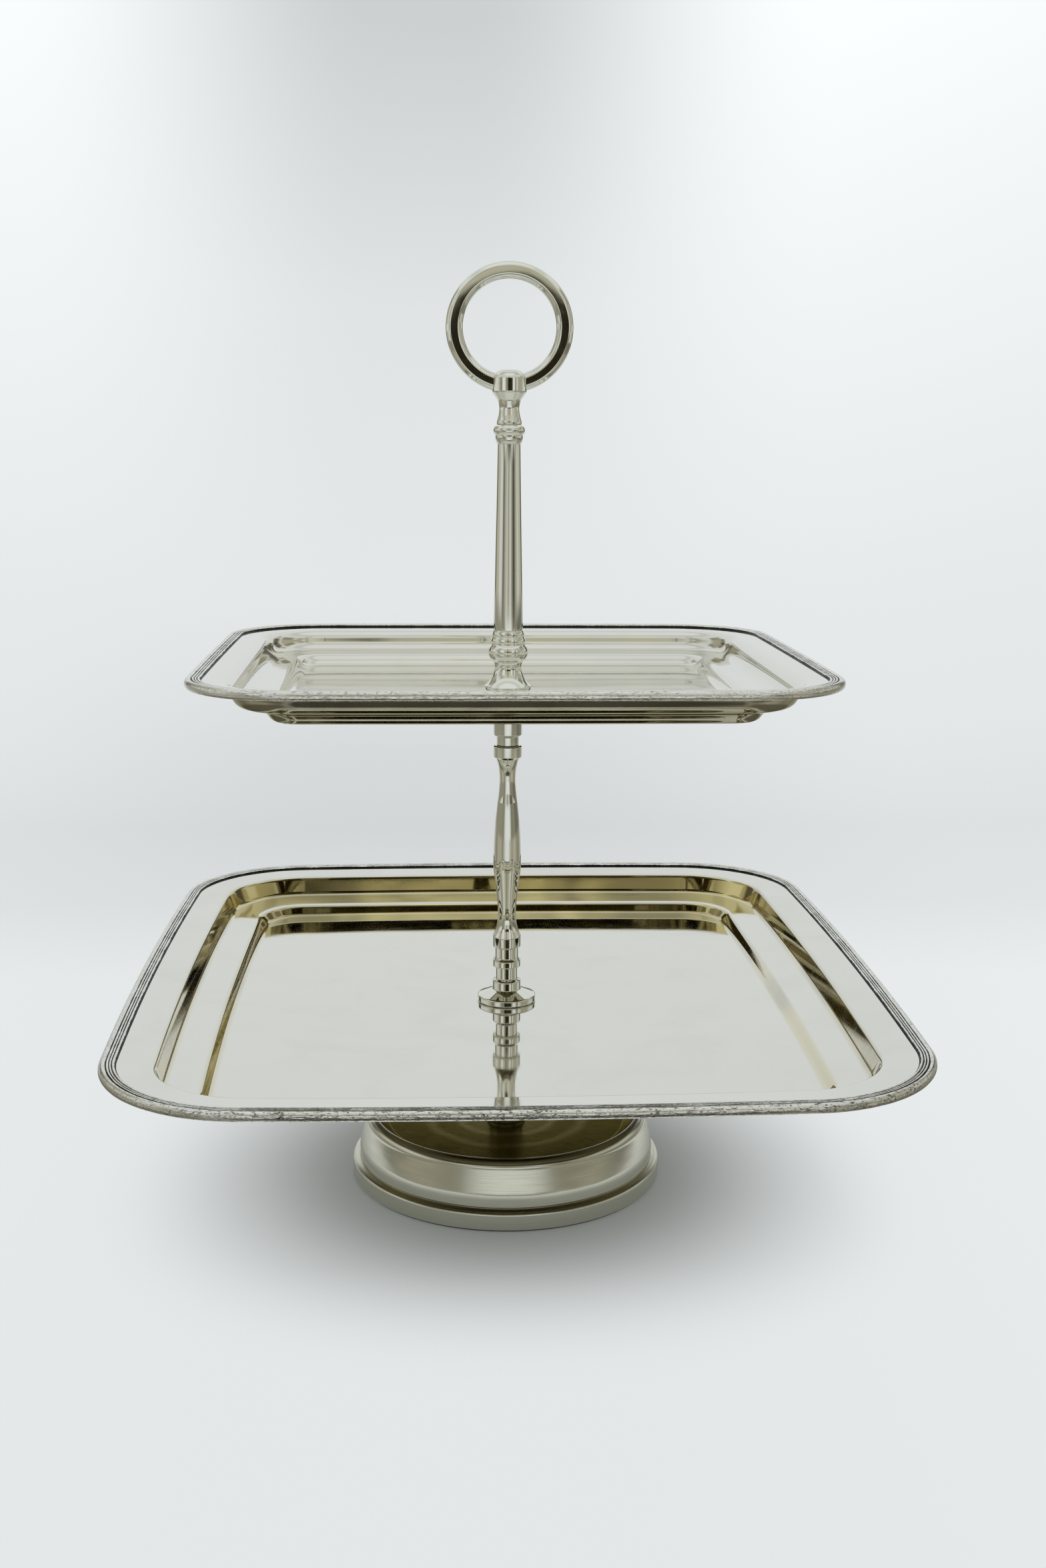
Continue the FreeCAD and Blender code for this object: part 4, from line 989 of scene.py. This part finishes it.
# Two stretches of painted shadow on the mirrored floor, in front and at the sides, for the trays'
# shadow near the foot. Each has the radii between which it fades in towards the object, the angles
# between which it fades in, and its colour.
PAINTED_FLOOR_SHADOW = (
    ((0.60, 0.52), (0.62, 0.36), olive(0.08)),
    ((0.46, 0.36), (0.45, 0.80), olive(0.17)),
)


def round_ramp(s, turn, view):
    """The colours of one view, by the turn from 0 to 1 that starts and ends at the back."""
    return s.ramp(turn, [((angle + 180) / 360, colour) for angle, colour in view])


def surround_material():
    """The glow of the shell that only reflections see."""
    s = Shader("studio_surround")
    x, y, z = s.split(s.place())
    round_from_front = s.math("ARCTAN2", x, s.math("MULTIPLY", y, -1.0))
    turn = s.ranged(round_from_front, -math.pi, math.pi, smooth=False)
    aside = s.math("ABSOLUTE", round_from_front)
    radius = s.reach(x, y)
    lit = round_ramp(s, turn, FLOOR_VIEW)
    # Painted shadow on the floor that the metal mirrors, darker towards the object.
    for radii, angles, colour in PAINTED_FLOOR_SHADOW:
        share = s.math("MULTIPLY", s.ranged(radius, *radii), s.ranged(aside, *angles))
        lit = s.blend(share, lit, colour)
    for low, high, view in BANDS:
        lit = s.blend(s.ranged(z, low, high), lit, round_ramp(s, turn, view))
    above = s.ramp(s.math("DIVIDE", z, CEILING_TOP),
                   [(height / CEILING_TOP, colour) for height, colour in CEILING_VIEW])
    lit = s.blend(s.ranged(z, CEILING_FROM, CEILING_TO), lit, above)
    glow = s.add("ShaderNodeEmission", {"Color": lit, "Strength": 1.0})
    s.tree.links.new(glow.outputs[0], s.output.inputs["Surface"])
    return s.material


LAMP_COLOUR = (1.0, 1.0, 0.99)
# Each lamp's name, place, target, width, height and power.
LAMPS = (
    ("front_softbox", (-0.12, -0.75, 1.5), (0, 0, 0.05), 1.1, 1.0, 9.0),
    ("overhead_softbox", (0.0, 0.35, 1.9), (0, 0.1, 0.1), 1.0, 0.8, 5.0),
)


def add_lamp(name, place, target, width, height, power):
    """A soft lamp that metal doesn't mirror, because the surround stands for all it mirrors."""
    data = bpy.data.lights.new(name, "AREA")
    data.shape = "RECTANGLE"
    data.size = width
    data.size_y = height
    data.energy = power
    data.color = LAMP_COLOUR
    lamp = bpy.data.objects.new(name, data)
    bpy.context.scene.collection.objects.link(lamp)
    lamp.location = place
    lamp.rotation_euler = (Vector(target) - Vector(place)).to_track_quat("-Z", "Y").to_euler()
    lamp.visible_glossy = False


def sweep_profile():
    """The sweep's half section as (radius, height)."""
    profile = [(0.0005, 0.0)] + [(float(r), 0.0) for r in np.linspace(0.1, FLOOR_FLAT, 8)]
    for step in range(1, SWEEP_STEPS + 1):
        angle = step / SWEEP_STEPS * HALF_PI
        profile.append((FLOOR_FLAT + SWEEP_ROUND * math.sin(angle),
                        SWEEP_ROUND * (1 - math.cos(angle))))
    profile.append((FLOOR_FLAT + SWEEP_ROUND, SWEEP_HEIGHT))
    return profile


SURROUND_PROFILE = [
    (0.20, 0.001), (0.75, 0.0015), (0.95, 0.03), (1.0, 0.05), (1.05, 0.10), (1.08, 0.20),
    (1.10, 0.60), (1.10, 3.0), (0.0005, 3.05),
]

revolved("studio_sweep", sweep_profile(), sweep_material(), camera=True)
revolved("studio_surround", SURROUND_PROFILE, surround_material(), camera=False)
for lamp in LAMPS:
    add_lamp(*lamp)

world = bpy.data.worlds.new("studio")
world.use_nodes = True
background = world.node_tree.nodes["Background"]
background.inputs["Color"].default_value = rgb(0.93, 0.96, 0.97)
background.inputs["Strength"].default_value = 0.70
bpy.context.scene.world = world
bpy.context.scene.view_settings.view_transform = "Standard"

# ---------------------------------------------------------------- camera

# From a perspective fit of the stand's outlines in the photo: metres, radians and millimetres.
CAMERA_DISTANCE = 0.75806
CAMERA_HEIGHT = 0.32607
STAND_TURN = 0.046  # the stand is turned a little against the camera's heading
PAN = 0.00895
PITCH = 0.19273
ROLL = 0.00644
SENSOR_HEIGHT = 36.0
FOCAL_LENGTH = 40.483

heading = PAN + STAND_TURN
level_forward = Vector((math.sin(heading), math.cos(heading), 0))
level_right = Vector((math.cos(heading), -math.sin(heading), 0))
upwards = Vector((0, 0, 1))
forward = level_forward * math.cos(PITCH) - upwards * math.sin(PITCH)
tilted_up = upwards * math.cos(PITCH) + level_forward * math.sin(PITCH)
right = level_right * math.cos(ROLL) + tilted_up * math.sin(ROLL)
up = tilted_up * math.cos(ROLL) - level_right * math.sin(ROLL)
camera_data = bpy.data.cameras.new("camera")
camera_data.sensor_fit = "VERTICAL"
camera_data.sensor_height = SENSOR_HEIGHT
camera_data.lens = FOCAL_LENGTH
camera = bpy.data.objects.new("camera", camera_data)
bpy.context.scene.collection.objects.link(camera)
place = Vector((-CAMERA_DISTANCE * math.sin(STAND_TURN),
                -CAMERA_DISTANCE * math.cos(STAND_TURN), CAMERA_HEIGHT))
basis = Matrix((right, up, -forward)).transposed().to_4x4()
camera.matrix_world = Matrix.Translation(place) @ basis
bpy.context.scene.camera = camera
